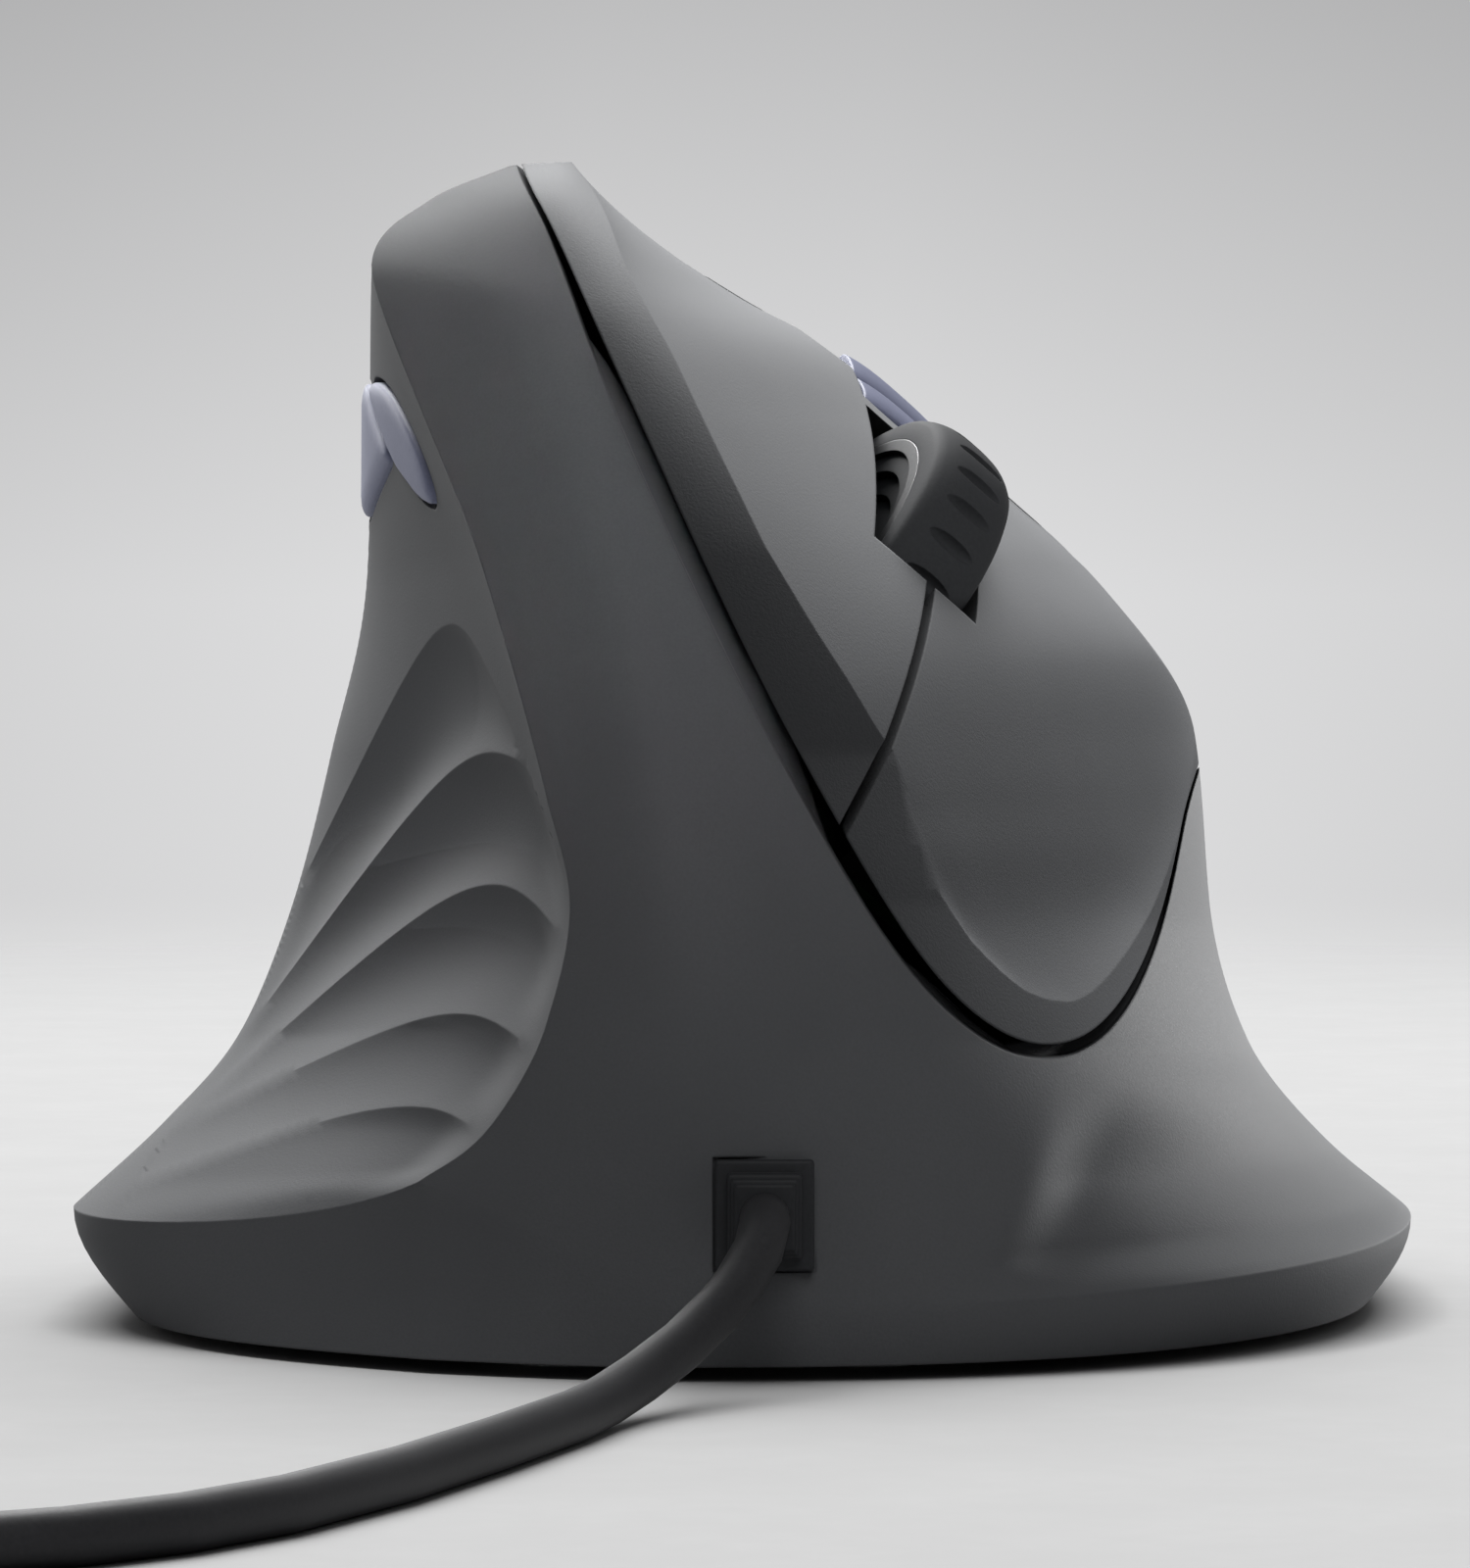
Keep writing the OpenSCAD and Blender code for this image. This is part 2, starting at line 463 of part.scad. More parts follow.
// Both keys before they are parted
module deck_form() intersection() {
    form();
    slab(function (y, z) under_x(y, z), function (y, z) face_x(y, z),
        concat([for (y = deck_ys) if (y < key_end - 1) y], [key_end - seam]), deck_zs);
    edge_prism(key_edge);
}

module deck_cuts() deck() {
    translate([-slot_left/2, 0, -30]) block(wheel_w + 2*slot_side + slot_left, wheel_d - 3.2, 60);
    translate([-slot_left/2, 0, wheel_c]) rotate([0, 90, 0])
        cylinder(d = wheel_d + 2*wheel_clear, h = wheel_w + 2*slot_side + slot_left, center = true);
    translate([0, (dpi_v[0] + dpi_v[1])/2, -30])
        block(dpi_l + 2*button_gap, dpi_v[1] - dpi_v[0] + dpi_w + 2*button_gap, 60);
}

// Arms and switch post under a key, reaching up into its skin
module key_roots(us, post_u) deck() {
    for (u = us) translate([u, rod_v - 1, rod_w + knuckle/2 + 0.2]) block(4, 4, 5.6);
    translate([post_u, switch_v, keyboard_top + switch_h + plunger_h + 0.1])
        cylinder(d = post_d, h = 6.2, $fn = 24);
}

upper_arms = [-9, -3.6];
lower_arms = [3.6, 14];

module upper_key() color(charcoal) resize([0, 0, 0]) difference() {
    union() {
        deck_form();
        intersection() {
            key_roots(upper_arms, -switch_u);
            slab(function (y, z) narrow(y, z), function (y, z) face_x(y, z) - 1, deck_ys, deck_zs);
        }
    }
    deck() translate([-key_split/2, -80, -60]) cube([80, 160, 120]);
    deck_cuts();
}

module lower_key() color(charcoal) resize([0, 0, 0]) difference() {
    union() {
        deck_form();
        intersection() {
            key_roots(lower_arms, switch_u);
            slab(function (y, z) narrow(y, z), function (y, z) face_x(y, z) - 1, deck_ys, deck_zs);
        }
    }
    deck() translate([key_split/2 - 80, -80, -60]) cube([80, 160, 120]);
    deck_cuts();
}

// Knuckles that turn on the rod
module knuckles(us) deck() for (u = us) translate([u, rod_v, rod_w]) difference() {
    union() {
        rotate([0, 90, 0]) cylinder(d = knuckle, h = 4, center = true);
        translate([-2, -3, 0]) cube([4, 4, knuckle/2 + 0.2]);
    }
    rotate([0, 90, 0]) cylinder(d = rod_d + 2*rod_fit, h = 6, center = true);
}

module upper_key_hinge() color(black) knuckles(upper_arms);

module lower_key_hinge() color(black) knuckles(lower_arms);

lugs = [-12.6, 0, 17.6];
lug_l = 5.2;

module hinge_rod() color(steel) deck() translate([lugs[0] - 0.8, rod_v, rod_w]) rotate([0, 90, 0])
    cylinder(d = rod_d, h = lugs[2] - lugs[0] + 1.6);

frame_plan = [[-11, -8], [-4, -15], [14, -15], [18, -8], [18, 33], [-13, 33]];
key_posts = [[-10, 5.2], [15, -9], [-10, 23], [15, 23]];
carrier_l = 10;

module inner_frame() color(black) {
    deck() difference() {
        union() {
            translate([0, 0, frame_w - frame_t]) linear_extrude(frame_t) polygon(frame_plan);
            for (p = key_posts) translate([p.x, p.y, frame_w - eps])
                cylinder(d = 4, h = keyboard_w - frame_w + eps);
            for (u = lugs) translate([u - 1, rod_v - lug_l/2, frame_w - eps])
                cube([2, lug_l, rod_w - frame_w + 2.4]);
        }
        translate([0, 0, frame_w - 5]) block(2*cheek_u + 2*cheek_t + 0.5, carrier_l + 0.5, 12);
        translate([0, 0, frame_w - 5]) block(wheel_w + 1.6, wheel_d, 12);
        translate([-20, rod_v, rod_w]) rotate([0, 90, 0]) cylinder(d = rod_d, h = 50);
        for (p = key_posts) translate([p.x, p.y, frame_w - 5]) cylinder(d = screw_d, h = 12);
    }
    difference() {
        for (p = legs) translate([p.x, p.y, base_top]) {
            cylinder(d = leg_d, h = 60);
            cylinder(d = leg_d + 4, h = 1.6);
        }
        deck() translate([-40, -60, frame_w - frame_t/2]) cube([90, 120, 90]);
        for (p = legs) translate([p.x, p.y, 0]) cylinder(d = screw_d, h = base_top + 8);
    }
}

module key_board() color(green) deck() difference() {
    translate([0, 0, keyboard_w]) linear_extrude(board_t) polygon(board_plan);
    translate([0, 0, keyboard_w - 1]) block(2*cheek_u + 2*cheek_t + 1, wheel_d + 0.6, board_t + 2);
    for (p = key_posts) translate([p.x, p.y, keyboard_w - 1]) cylinder(d = screw_d + 0.2, h = board_t + 2);
}
board_end = rod_v - lug_l/2 - 0.4;
board_plan = [[-13, -16], [14, -16], [17, -10], [17, board_end], [-12, board_end], [-13, 6]];

module key_board_screws() color(steel) deck() for (p = key_posts)
    translate([p.x, p.y, keyboard_top + 0.95]) mirror([0, 0, 1]) screw(4);

module switch_body(u) deck() difference() {
    translate([u, switch_v, keyboard_top]) block(5.8, 12.8, switch_h);
    translate([u, switch_v, keyboard_top + switch_h - 1.6]) cylinder(d = 2.2, h = 3);
}

module upper_switch() color(black) switch_body(-switch_u);

module lower_switch() color(black) switch_body(switch_u);

module plunger(u) deck() translate([u, switch_v, keyboard_top + switch_h - 0.8])
    cylinder(d = 2.1, h = 0.8 + plunger_h);

module upper_plunger() color("#c9c4b4") plunger(-switch_u);

module lower_plunger() color("#c9c4b4") plunger(switch_u);

module wheel_axis() deck() translate([0, 0, wheel_c]) rotate([0, 90, 0]) children();

grooves = 26;
module wheel_tyre() color(rubber) wheel_axis() difference() {
    cylinder(d = wheel_d, h = wheel_w, center = true);
    cylinder(d = wheel_d - 2*tyre_t, h = wheel_w + 1, center = true);
    for (i = [0:grooves - 1]) rotate(i*360/grooves) translate([wheel_d/2 + 1.1, 0, 0]) rotate([90, 0, 0])
        cylinder(d = 3.4, h = 1, center = true);
}

module wheel_hub() color("#6f7276") wheel_axis() difference() {
    union() {
        cylinder(d = wheel_d - 2*tyre_t, h = wheel_w, center = true);
        cylinder(d = axle_d, h = 2*(cheek_u + cheek_t) + 0.4, center = true);
        cylinder(d = axle_d + 2.4, h = 2*cheek_u - 0.3, center = true);
    }
    for (s = [-1, 1]) translate([0, 0, s*wheel_w/2]) difference() {
        cylinder(d = wheel_d - 2*tyre_t - 3, h = 2.4, center = true);
        cylinder(d = axle_d + 5, h = 4, center = true);
    }
}

arm_w = keyboard_top + tact_h + 0.6;
module wheel_carrier() color(black) deck() difference() {
    union() {
        for (s = [-1, 1]) translate([s*(cheek_u + cheek_t/2), 0, carrier_w])
            block(cheek_t, carrier_l, wheel_c + cheek_top - carrier_w);
        translate([0, 0, carrier_w]) block(2*cheek_u + eps, carrier_l, bridge_t);
        translate([-cheek_u - cheek_t - 6, -2, arm_w]) cube([6 + eps, 4, 1.6]);
    }
    translate([0, 0, wheel_c]) rotate([0, 90, 0])
        cylinder(d = axle_d + 2*axle_fit, h = 2*(cheek_u + cheek_t + 1), center = true);
}

module wheel_switch() color(black) deck() translate([-cheek_u - cheek_t - 4, 0, keyboard_top]) {
    block(4.5, 4.5, tact_h - 0.7);
    cylinder(d = 2, h = tact_h);
}

module encoder_body() color(black) deck() translate([cheek_u + cheek_t + 3, 0, keyboard_top]) {
    block(3.6, 9, 5);
    translate([0, 0, 5 - eps]) block(2.4, 6, 2);
}

module dpi_button(i) deck() translate([0, dpi_v[i], dpi_w0[i]]) {
    rotate([dpi_tilt, 0, 0]) translate([0, 0, -1.6]) pad(dpi_l, dpi_w, 1.6 + dpi_proud, 1.2);
    translate([0, 0, dpi_stem - dpi_w0[i]]) cylinder(d = 2.6, h = -dpi_stem + dpi_w0[i] - 0.9);
}
dpi_stem = keyboard_top + tact_h + dpi_press + 0.1;

module dpi_up_button() color(lavender) dpi_button(0);

module dpi_down_button() color(lavender) dpi_button(1);

module dpi_switches() color(black) deck() for (v = dpi_v) translate([0, v, keyboard_top]) {
    block(4.5, 4.5, tact_h - 0.7);
    cylinder(d = 2, h = tact_h);
}

// Thumb button: a plate that follows the flank, with a stem to its switch
module side_button(shape, mid) resize([0, 0, 0]) difference() {
    union() {
        intersection() {
            translate([-side_proud, 0, 0]) form();
            side_prism(shape, 0);
        }
        intersection() {
            translate([side_board_x - tact_h - side_press - 0.1, mid[0], mid[1]]) rotate([0, -90, 0])
                cylinder(d = 3, h = 12, $fn = 16);
            form();
        }
    }
    difference() {
        translate([side_deep, 0, 0]) form();
        translate([side_board_x - tact_h - side_press - 0.1, mid[0], mid[1]]) rotate([0, -90, 0])
            cylinder(d = 3, h = 12, $fn = 16);
    }
}

module forward_button() color(lavender) side_button(forward_shape, side_mid[0]);

module back_button() color(lavender) side_button(back_shape, side_mid[1]);

module side_board() color(green) translate([side_board_x, -25, 46.5]) cube([board_t, 34, 13.5]);

module side_switches() color(black) for (p = side_mid)
    translate([side_board_x, p[0], p[1]]) rotate([0, -90, 0]) {
        block(4.5, 4.5, tact_h - 0.7);
        cylinder(d = 2, h = tact_h);
    }

module main_board() color(green) difference() {
    translate([-9.5, -20, board_z]) cube([27, 50, board_t]);
    for (p = board_posts) translate([p.x, p.y, board_z - 1]) cylinder(d = screw_d + 0.2, h = board_t + 2);
    for (p = legs) translate([p.x, p.y, board_z - 1]) cylinder(d = leg_d + 1, h = board_t + 2);
}

module board_screws() color(steel) for (p = board_posts)
    translate([p.x, p.y, board_top + 0.95]) mirror([0, 0, 1]) screw(4.2);

module controller_chip() color(black) translate([4, 19, board_top]) block(7, 7, 1);

module sensor_chip() color(black) translate([lens_at.x, lens_at.y, board_z - 1.4]) block(9, 8, 1.4);

module sensor_lens() color("#d8e4ea") translate([lens_at.x, lens_at.y, foot_h + 0.2]) {
    block(lens_l - 0.3, lens_w - 0.3, base_t - 0.2);
    translate([0, 0, base_t - 0.2 - eps]) block(lens_l - 3, lens_w - 3, board_lift - 1.5);
}

module sensor_led() color("#e7c9c4") translate([lens_at.x + lens_l/2 + 1.6, lens_at.y, board_z - 4.2]) {
    cylinder(d = 3, h = 2.6);
    cylinder(d = 2, h = 4.2);
}

module cord_socket() color("#e6e3da") translate([gland_x + 0.8, -16, board_top]) block(7, 5, 4);

ribbon_path = [[15.2, board_top], [15.2, 27], [13.3, 30.2], [13.3, 30.9]];
module board_ribbon() color("#d9d6cc") translate([0, -3, 0]) rotate([90, 0, 0]) linear_extrude(6)
    polygon(concat([for (p = ribbon_path) [p.x, p.y]],
        [for (i = [len(ribbon_path) - 1:-1:0]) [ribbon_path[i].x - 0.5, ribbon_path[i].y]]));

module strain_relief() color(rubber) translate([gland_x, 0, gland_z]) difference() {
    union() {
        translate([-3.6, gland_wall + 3.7, -3.6]) cube([7.2, 1.4, 7.2]);
        translate([-2.15, gland_wall - 0.6, -2.45]) cube([4.3, 4.4, 4.9]);
        translate([-gland_w/2, gland_wall - 0.9, -gland_h/2]) cube([gland_w, 0.8, gland_h]);
        translate([-2.15, gland_wall - 1.6, -2.45]) cube([4.3, 1.1, 4.9]);
        translate([-1.95, gland_wall - 2.1, -2.2]) cube([3.9, 0.7, 4.4]);
        translate([-1.75, gland_front, -1.95]) cube([3.5, 1, 3.9]);
    }
    translate([0, gland_front - 1, 0]) rotate([-90, 0, 0]) cylinder(d = 1.2, h = 1.5);
}

module inner_lead() color(rubber) translate([gland_x, gland_wall + 5.1, gland_z])
    rotate([-84.6, 0, 0]) cylinder(d = cord_d - 0.4, h = 33.2);

coil_at = [-64, -125];
coil_pitch = cord_d + coil_gap;
coil_out = coil_in + 3*coil_pitch;
coil_z = cord_d/2 + tie_t + 0.3;
coil_steps = 24;
coil_last = 13.25;
plug_x = -87.4;
plug_y = -99;
plug_z = 4.3;
cord_z = cord_d/2;
// Cord: from the gland down to the floor, then away to the front left
cord_points = [[0.7, -59.5, 9.6], [0.7, -62.4, 9.6], [0.3, -64.6, 8.2], [-0.8, -66.6, 6.5],
               [-2, -68.8, 5.2], [-4, -72.4, 3.6], [-6.2, -76.6, 2.3], [-8, -81.6, 1.6], [-9.6, -88, cord_z],
               [-13.4, -101, cord_z], [-17.6, -114, cord_z], [-22.6, -126, cord_z], [-27, -133, cord_z],
               [-32, -138.2, cord_z], [-38, -142, cord_z], [-45, -144.6, cord_z], [-53, -146, 1.7],
               [-60, coil_at.y - coil_out, coil_z], [-64, coil_at.y - coil_out, coil_z]];
// Coil: four layers of three turns, in and out by turns; it climbs in each half turn where it reverses
function coil_r(a) = a < 3 ? lift(coil_out, coil_in, a/3)
    : a < 3.5 ? coil_in - 0.5*sin((a - 3)*360)
    : a < 6.5 ? lift(coil_in, coil_out, (a - 3.5)/3)
    : a < 7 ? coil_out + 0.5*sin((a - 6.5)*360)
    : a < 10 ? lift(coil_out, coil_in, (a - 7)/3)
    : a < 10.5 ? coil_in - 0.5*sin((a - 10)*360)
    : lift(coil_in, coil_out, (a - 10.5)/3);
function coil_layer(a) = smooth((a - 3)*2) + smooth((a - 6.5)*2) + smooth((a - 10)*2);
function coil_point(a) = let (q = -90 - 360*a, r = coil_r(a))
    [coil_at.x + r*cos(q), coil_at.y + r*sin(q), coil_z + coil_pitch*coil_layer(a)];
coil_tail = [[-84.7, -121.2, 12.6], [-85.3, -117, 12.4], [-86.2, -112.8, 11], [-86.9, -109, 8.4],
             [plug_x, -105.6, 5.6], [plug_x, -102.2, plug_z], [plug_x, plug_y, plug_z]];
coil_path = concat([for (i = [0:coil_last*coil_steps]) coil_point(i/coil_steps)], coil_tail);
// Least distance from a point to the straight runs of a path
function to_run(p, a, b) = let (v = b - a) norm(p - a - max(0, min(1, (p - a)*v/(v*v)))*v);
function near_gap(path, skip) = min([for (i = [0:len(path) - 2 - skip])
    for (j = [i + skip:len(path) - 2]) to_run(path[i], path[j], path[j + 1])]);
echo(least_coil_gap = near_gap(coil_path, 6) - cord_d);  // cord_coil

// Round tube along a path; the path never stands upright
module tube(path, d, sides) {
    n = len(path);
    ways = [for (i = [0:n - 1]) let (v = path[min(i + 1, n - 1)] - path[max(i - 1, 0)]) v/norm(v)];
    loft([for (i = [0:n - 1]) let (w = ways[i], c = cross(w, [0, 0, 1]), s = c/norm(c), h = cross(s, w))
        [for (k = [0:sides - 1]) path[i] + d/2*(cos(360*k/sides)*s + sin(360*k/sides)*h)]]);
}

module cord() color(rubber) tube(cord_points, cord_d, 8);

module cord_coil() color(rubber) tube(coil_path, cord_d, 6);

tie_h = cord_d + 3*coil_pitch + 0.5;
tie_l = cord_d + 3*coil_pitch + 1.6;
module coil_tie() color("#26272b")
    translate([coil_at.x, coil_at.y + (coil_in + coil_out)/2, 0.1]) difference() {
        block(tie_w, tie_l + 2*tie_t, tie_h + 2*tie_t);
        translate([0, 0, tie_t]) block(tie_w + 2, tie_l, tie_h);
    }

module plug_grip() color(rubber) translate([plug_x, plug_y, plug_z]) rotate([-90, 0, 0]) {
    pad(5.4, 5.4, 5, 2);
    translate([0, 0, 5 - eps]) pad(15.4, 8.2, 18, 2.4);
}

module plug_shell() color(steel) translate([plug_x, plug_y + 23, plug_z]) difference() {
    translate([-6, 0, -2.25]) cube([12, 12, 4.5]);
    translate([-5.7, 0.4, -1.95]) cube([11.4, 12, 3.9]);
    for (x = [-3, 3]) translate([x - 1, 5, 1]) cube([2, 2, 2]);
}

module plug_tongue() color("#e9e9ec")
    translate([plug_x - 5.6, plug_y + 23.5, plug_z - 1.85]) cube([11.2, 11, 1.8]);

main_shell();
palm_cover();
base_plate();
glide_feet();
base_screws();
upper_key();
upper_key_hinge();
lower_key();
lower_key_hinge();
hinge_rod();
inner_frame();
frame_screws();
key_board();
key_board_screws();
upper_switch();
lower_switch();
upper_plunger();
lower_plunger();
wheel_tyre();
wheel_hub();
wheel_carrier();
wheel_switch();
encoder_body();
dpi_up_button();
dpi_down_button();
dpi_switches();
forward_button();
back_button();
side_board();
side_switches();
main_board();
board_screws();
controller_chip();
sensor_chip();
sensor_lens();
sensor_led();
cord_socket();
board_ribbon();
strain_relief();
inner_lead();
cord();
cord_coil();
coil_tie();
plug_grip();
plug_shell();
plug_tongue();
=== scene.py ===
"""Looks of a corded vertical mouse, left-hand form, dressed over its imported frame."""
import json
import logging
import math
from contextlib import contextmanager
from dataclasses import dataclass, field
from enum import Enum
from typing import Callable, Iterator, Optional, Sequence

import bpy
import numpy as np
from mathutils import Matrix, Vector
from mathutils.bvhtree import BVHTree
from mathutils.geometry import delaunay_2d_cdt
from mathutils.interpolate import poly_3d_calc

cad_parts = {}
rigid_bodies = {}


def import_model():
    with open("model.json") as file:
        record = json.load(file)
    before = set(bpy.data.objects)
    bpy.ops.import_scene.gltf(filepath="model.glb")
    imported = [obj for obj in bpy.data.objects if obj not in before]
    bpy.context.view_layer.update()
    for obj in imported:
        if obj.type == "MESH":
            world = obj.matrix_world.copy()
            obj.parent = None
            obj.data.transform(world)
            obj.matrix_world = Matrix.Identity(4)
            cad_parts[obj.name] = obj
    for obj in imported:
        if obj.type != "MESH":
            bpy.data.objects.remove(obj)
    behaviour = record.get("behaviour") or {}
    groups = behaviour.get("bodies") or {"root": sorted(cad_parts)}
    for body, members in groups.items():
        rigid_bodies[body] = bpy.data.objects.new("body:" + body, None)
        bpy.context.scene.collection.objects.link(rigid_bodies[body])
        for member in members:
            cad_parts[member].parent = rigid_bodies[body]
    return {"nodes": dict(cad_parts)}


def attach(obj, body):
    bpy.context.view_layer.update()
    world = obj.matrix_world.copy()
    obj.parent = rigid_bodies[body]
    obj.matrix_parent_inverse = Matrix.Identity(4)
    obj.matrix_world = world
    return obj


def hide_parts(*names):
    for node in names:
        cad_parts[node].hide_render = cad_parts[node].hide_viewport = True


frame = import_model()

LOG = logging.getLogger("mouse")
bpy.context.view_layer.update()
MM = 0.001
Array = np.ndarray
Obj = bpy.types.Object
Tree = bpy.types.NodeTree
Socket = bpy.types.NodeSocket
Surface = Callable[[Array, Array], Array]
Point = Sequence[float]


class Cut(Enum):
    """How a tool body changes the body it meets."""

    AWAY = "DIFFERENCE"
    SHARED = "INTERSECT"
    ADDED = "UNION"


def lift(a: float, b: float, u: float) -> float:
    """Straight blend from a to b."""
    return a + (b - a) * u


def smooth(u: Array) -> Array:
    """Eased step from 0 to 1."""
    v = np.clip(u, 0.0, 1.0)
    return v * v * (3 - 2 * v)


def linear(colour: str) -> tuple[float, float, float, float]:
    """Turn an sRGB hex value into linear light.

    Args:
        colour: Hex value such as "#3a3b3d".

    Returns:
        Linear red, green, blue and full alpha.
    """
    parts = [int(colour[i:i + 2], 16) / 255 for i in (1, 3, 5)]
    r, g, b = [c / 12.92 if c <= 0.04045 else ((c + 0.055) / 1.055) ** 2.4 for c in parts]
    return r, g, b, 1.0


def connect(tree: Tree, node: bpy.types.Node, links: dict) -> None:
    """Set the inputs of a shader node.

    Args:
        tree: Node tree that holds the node.
        node: Node to set.
        links: Input name or number to a value or to an output socket.
    """
    for key, value in links.items():
        if isinstance(value, Socket):
            tree.links.new(value, node.inputs[key])
        else:
            node.inputs[key].default_value = value


def add_node(tree: Tree, kind: str, links: dict, **settings: object) -> bpy.types.Node:
    """Add one shader node with its settings and its inputs.

    Args:
        tree: Node tree that takes the node.
        kind: Type name after the part that all shader nodes share.
        links: Inputs, as connect takes them.
        **settings: Properties of the node itself.

    Returns:
        The new node.
    """
    node = tree.nodes.new("ShaderNode" + kind)
    for name, value in settings.items():
        setattr(node, name, value)
    connect(tree, node, links)
    return node


def ramp(tree: Tree, value: Socket, source: Point, target: Point = (0.0, 1.0), **settings: object) -> Socket:
    """Map a value from one range to another.

    Args:
        tree: Node tree that takes the node.
        value: What is mapped.
        source: Range of the value.
        target: Range of the result.
        **settings: Properties of the node itself.

    Returns:
        The result.
    """
    ends = dict(zip(("From Min", "From Max", "To Min", "To Max"), (*source, *target)))
    return add_node(tree, "MapRange", {"Value": value, **ends}, **settings).outputs[0]


def calc(tree: Tree, operation: str, *values: Socket) -> Socket:
    """Result of a maths node."""
    return add_node(tree, "Math", dict(enumerate(values)), operation=operation).outputs[0]


@dataclass(frozen=True)
class Finish:
    """One moulded, cast or stamped surface.

    A noise in millimetres mottles the colour, varies the gloss and roughens the skin.
    """

    name: str
    colour: str
    mottle: str
    roughness: float
    spread: float = 0.06
    grain_mm: float = 0.3
    relief_mm: float = 0.012
    metallic: float = 0.0
    ior: float = 1.5
    specular: float = 0.5
    transmission: float = 0.0
    edge_mm: float = 0.0
    fade_m: float = 0.0
    cloud_mm: float = 14.0

    def make(self) -> bpy.types.Material:
        """Build the material.

        Returns:
            A material of procedural nodes.
        """
        material = bpy.data.materials.new(self.name)
        material.use_nodes = True
        tree = material.node_tree
        place = add_node(tree, "TexCoord", {}).outputs["Object"]
        grain = add_node(tree, "TexNoise", {"Vector": place, "Scale": 1 / (self.grain_mm * MM), "Detail": 3.0,
                                            "Roughness": 0.6}).outputs["Fac"]
        cloud = add_node(tree, "TexNoise", {"Vector": place, "Scale": 1 / (self.cloud_mm * MM),
                                            "Detail": 2.0}).outputs["Fac"]
        share = ramp(tree, calc(tree, "MULTIPLY", grain, cloud), (0.12, 0.42))
        colour = add_node(tree, "Mix", {"Factor": share, "A": linear(self.colour), "B": linear(self.mottle)},
                          data_type="RGBA").outputs["Result"]
        gloss = ramp(tree, grain, (0.0, 1.0), (self.roughness - self.spread, self.roughness + self.spread))
        relief = {"Height": grain, "Strength": 1.0, "Distance": self.relief_mm * MM}
        if self.edge_mm:
            relief["Normal"] = add_node(tree, "Bevel", {"Radius": self.edge_mm * MM}, samples=6).outputs[0]
        skin = add_node(tree, "Bump", relief).outputs["Normal"]
        inputs = {"Base Color": colour, "Roughness": gloss, "Normal": skin, "Metallic": self.metallic,
                  "IOR": self.ior, "Specular IOR Level": self.specular, "Transmission Weight": self.transmission}
        if self.fade_m:
            away = add_node(tree, "VectorMath", {0: place}, operation="LENGTH").outputs["Value"]
            inputs["Alpha"] = ramp(tree, away, (self.fade_m * 0.25, self.fade_m), (1.0, 0.0),
                                   interpolation_type="SMOOTHSTEP")
        connect(tree, tree.nodes["Principled BSDF"], inputs)
        return material


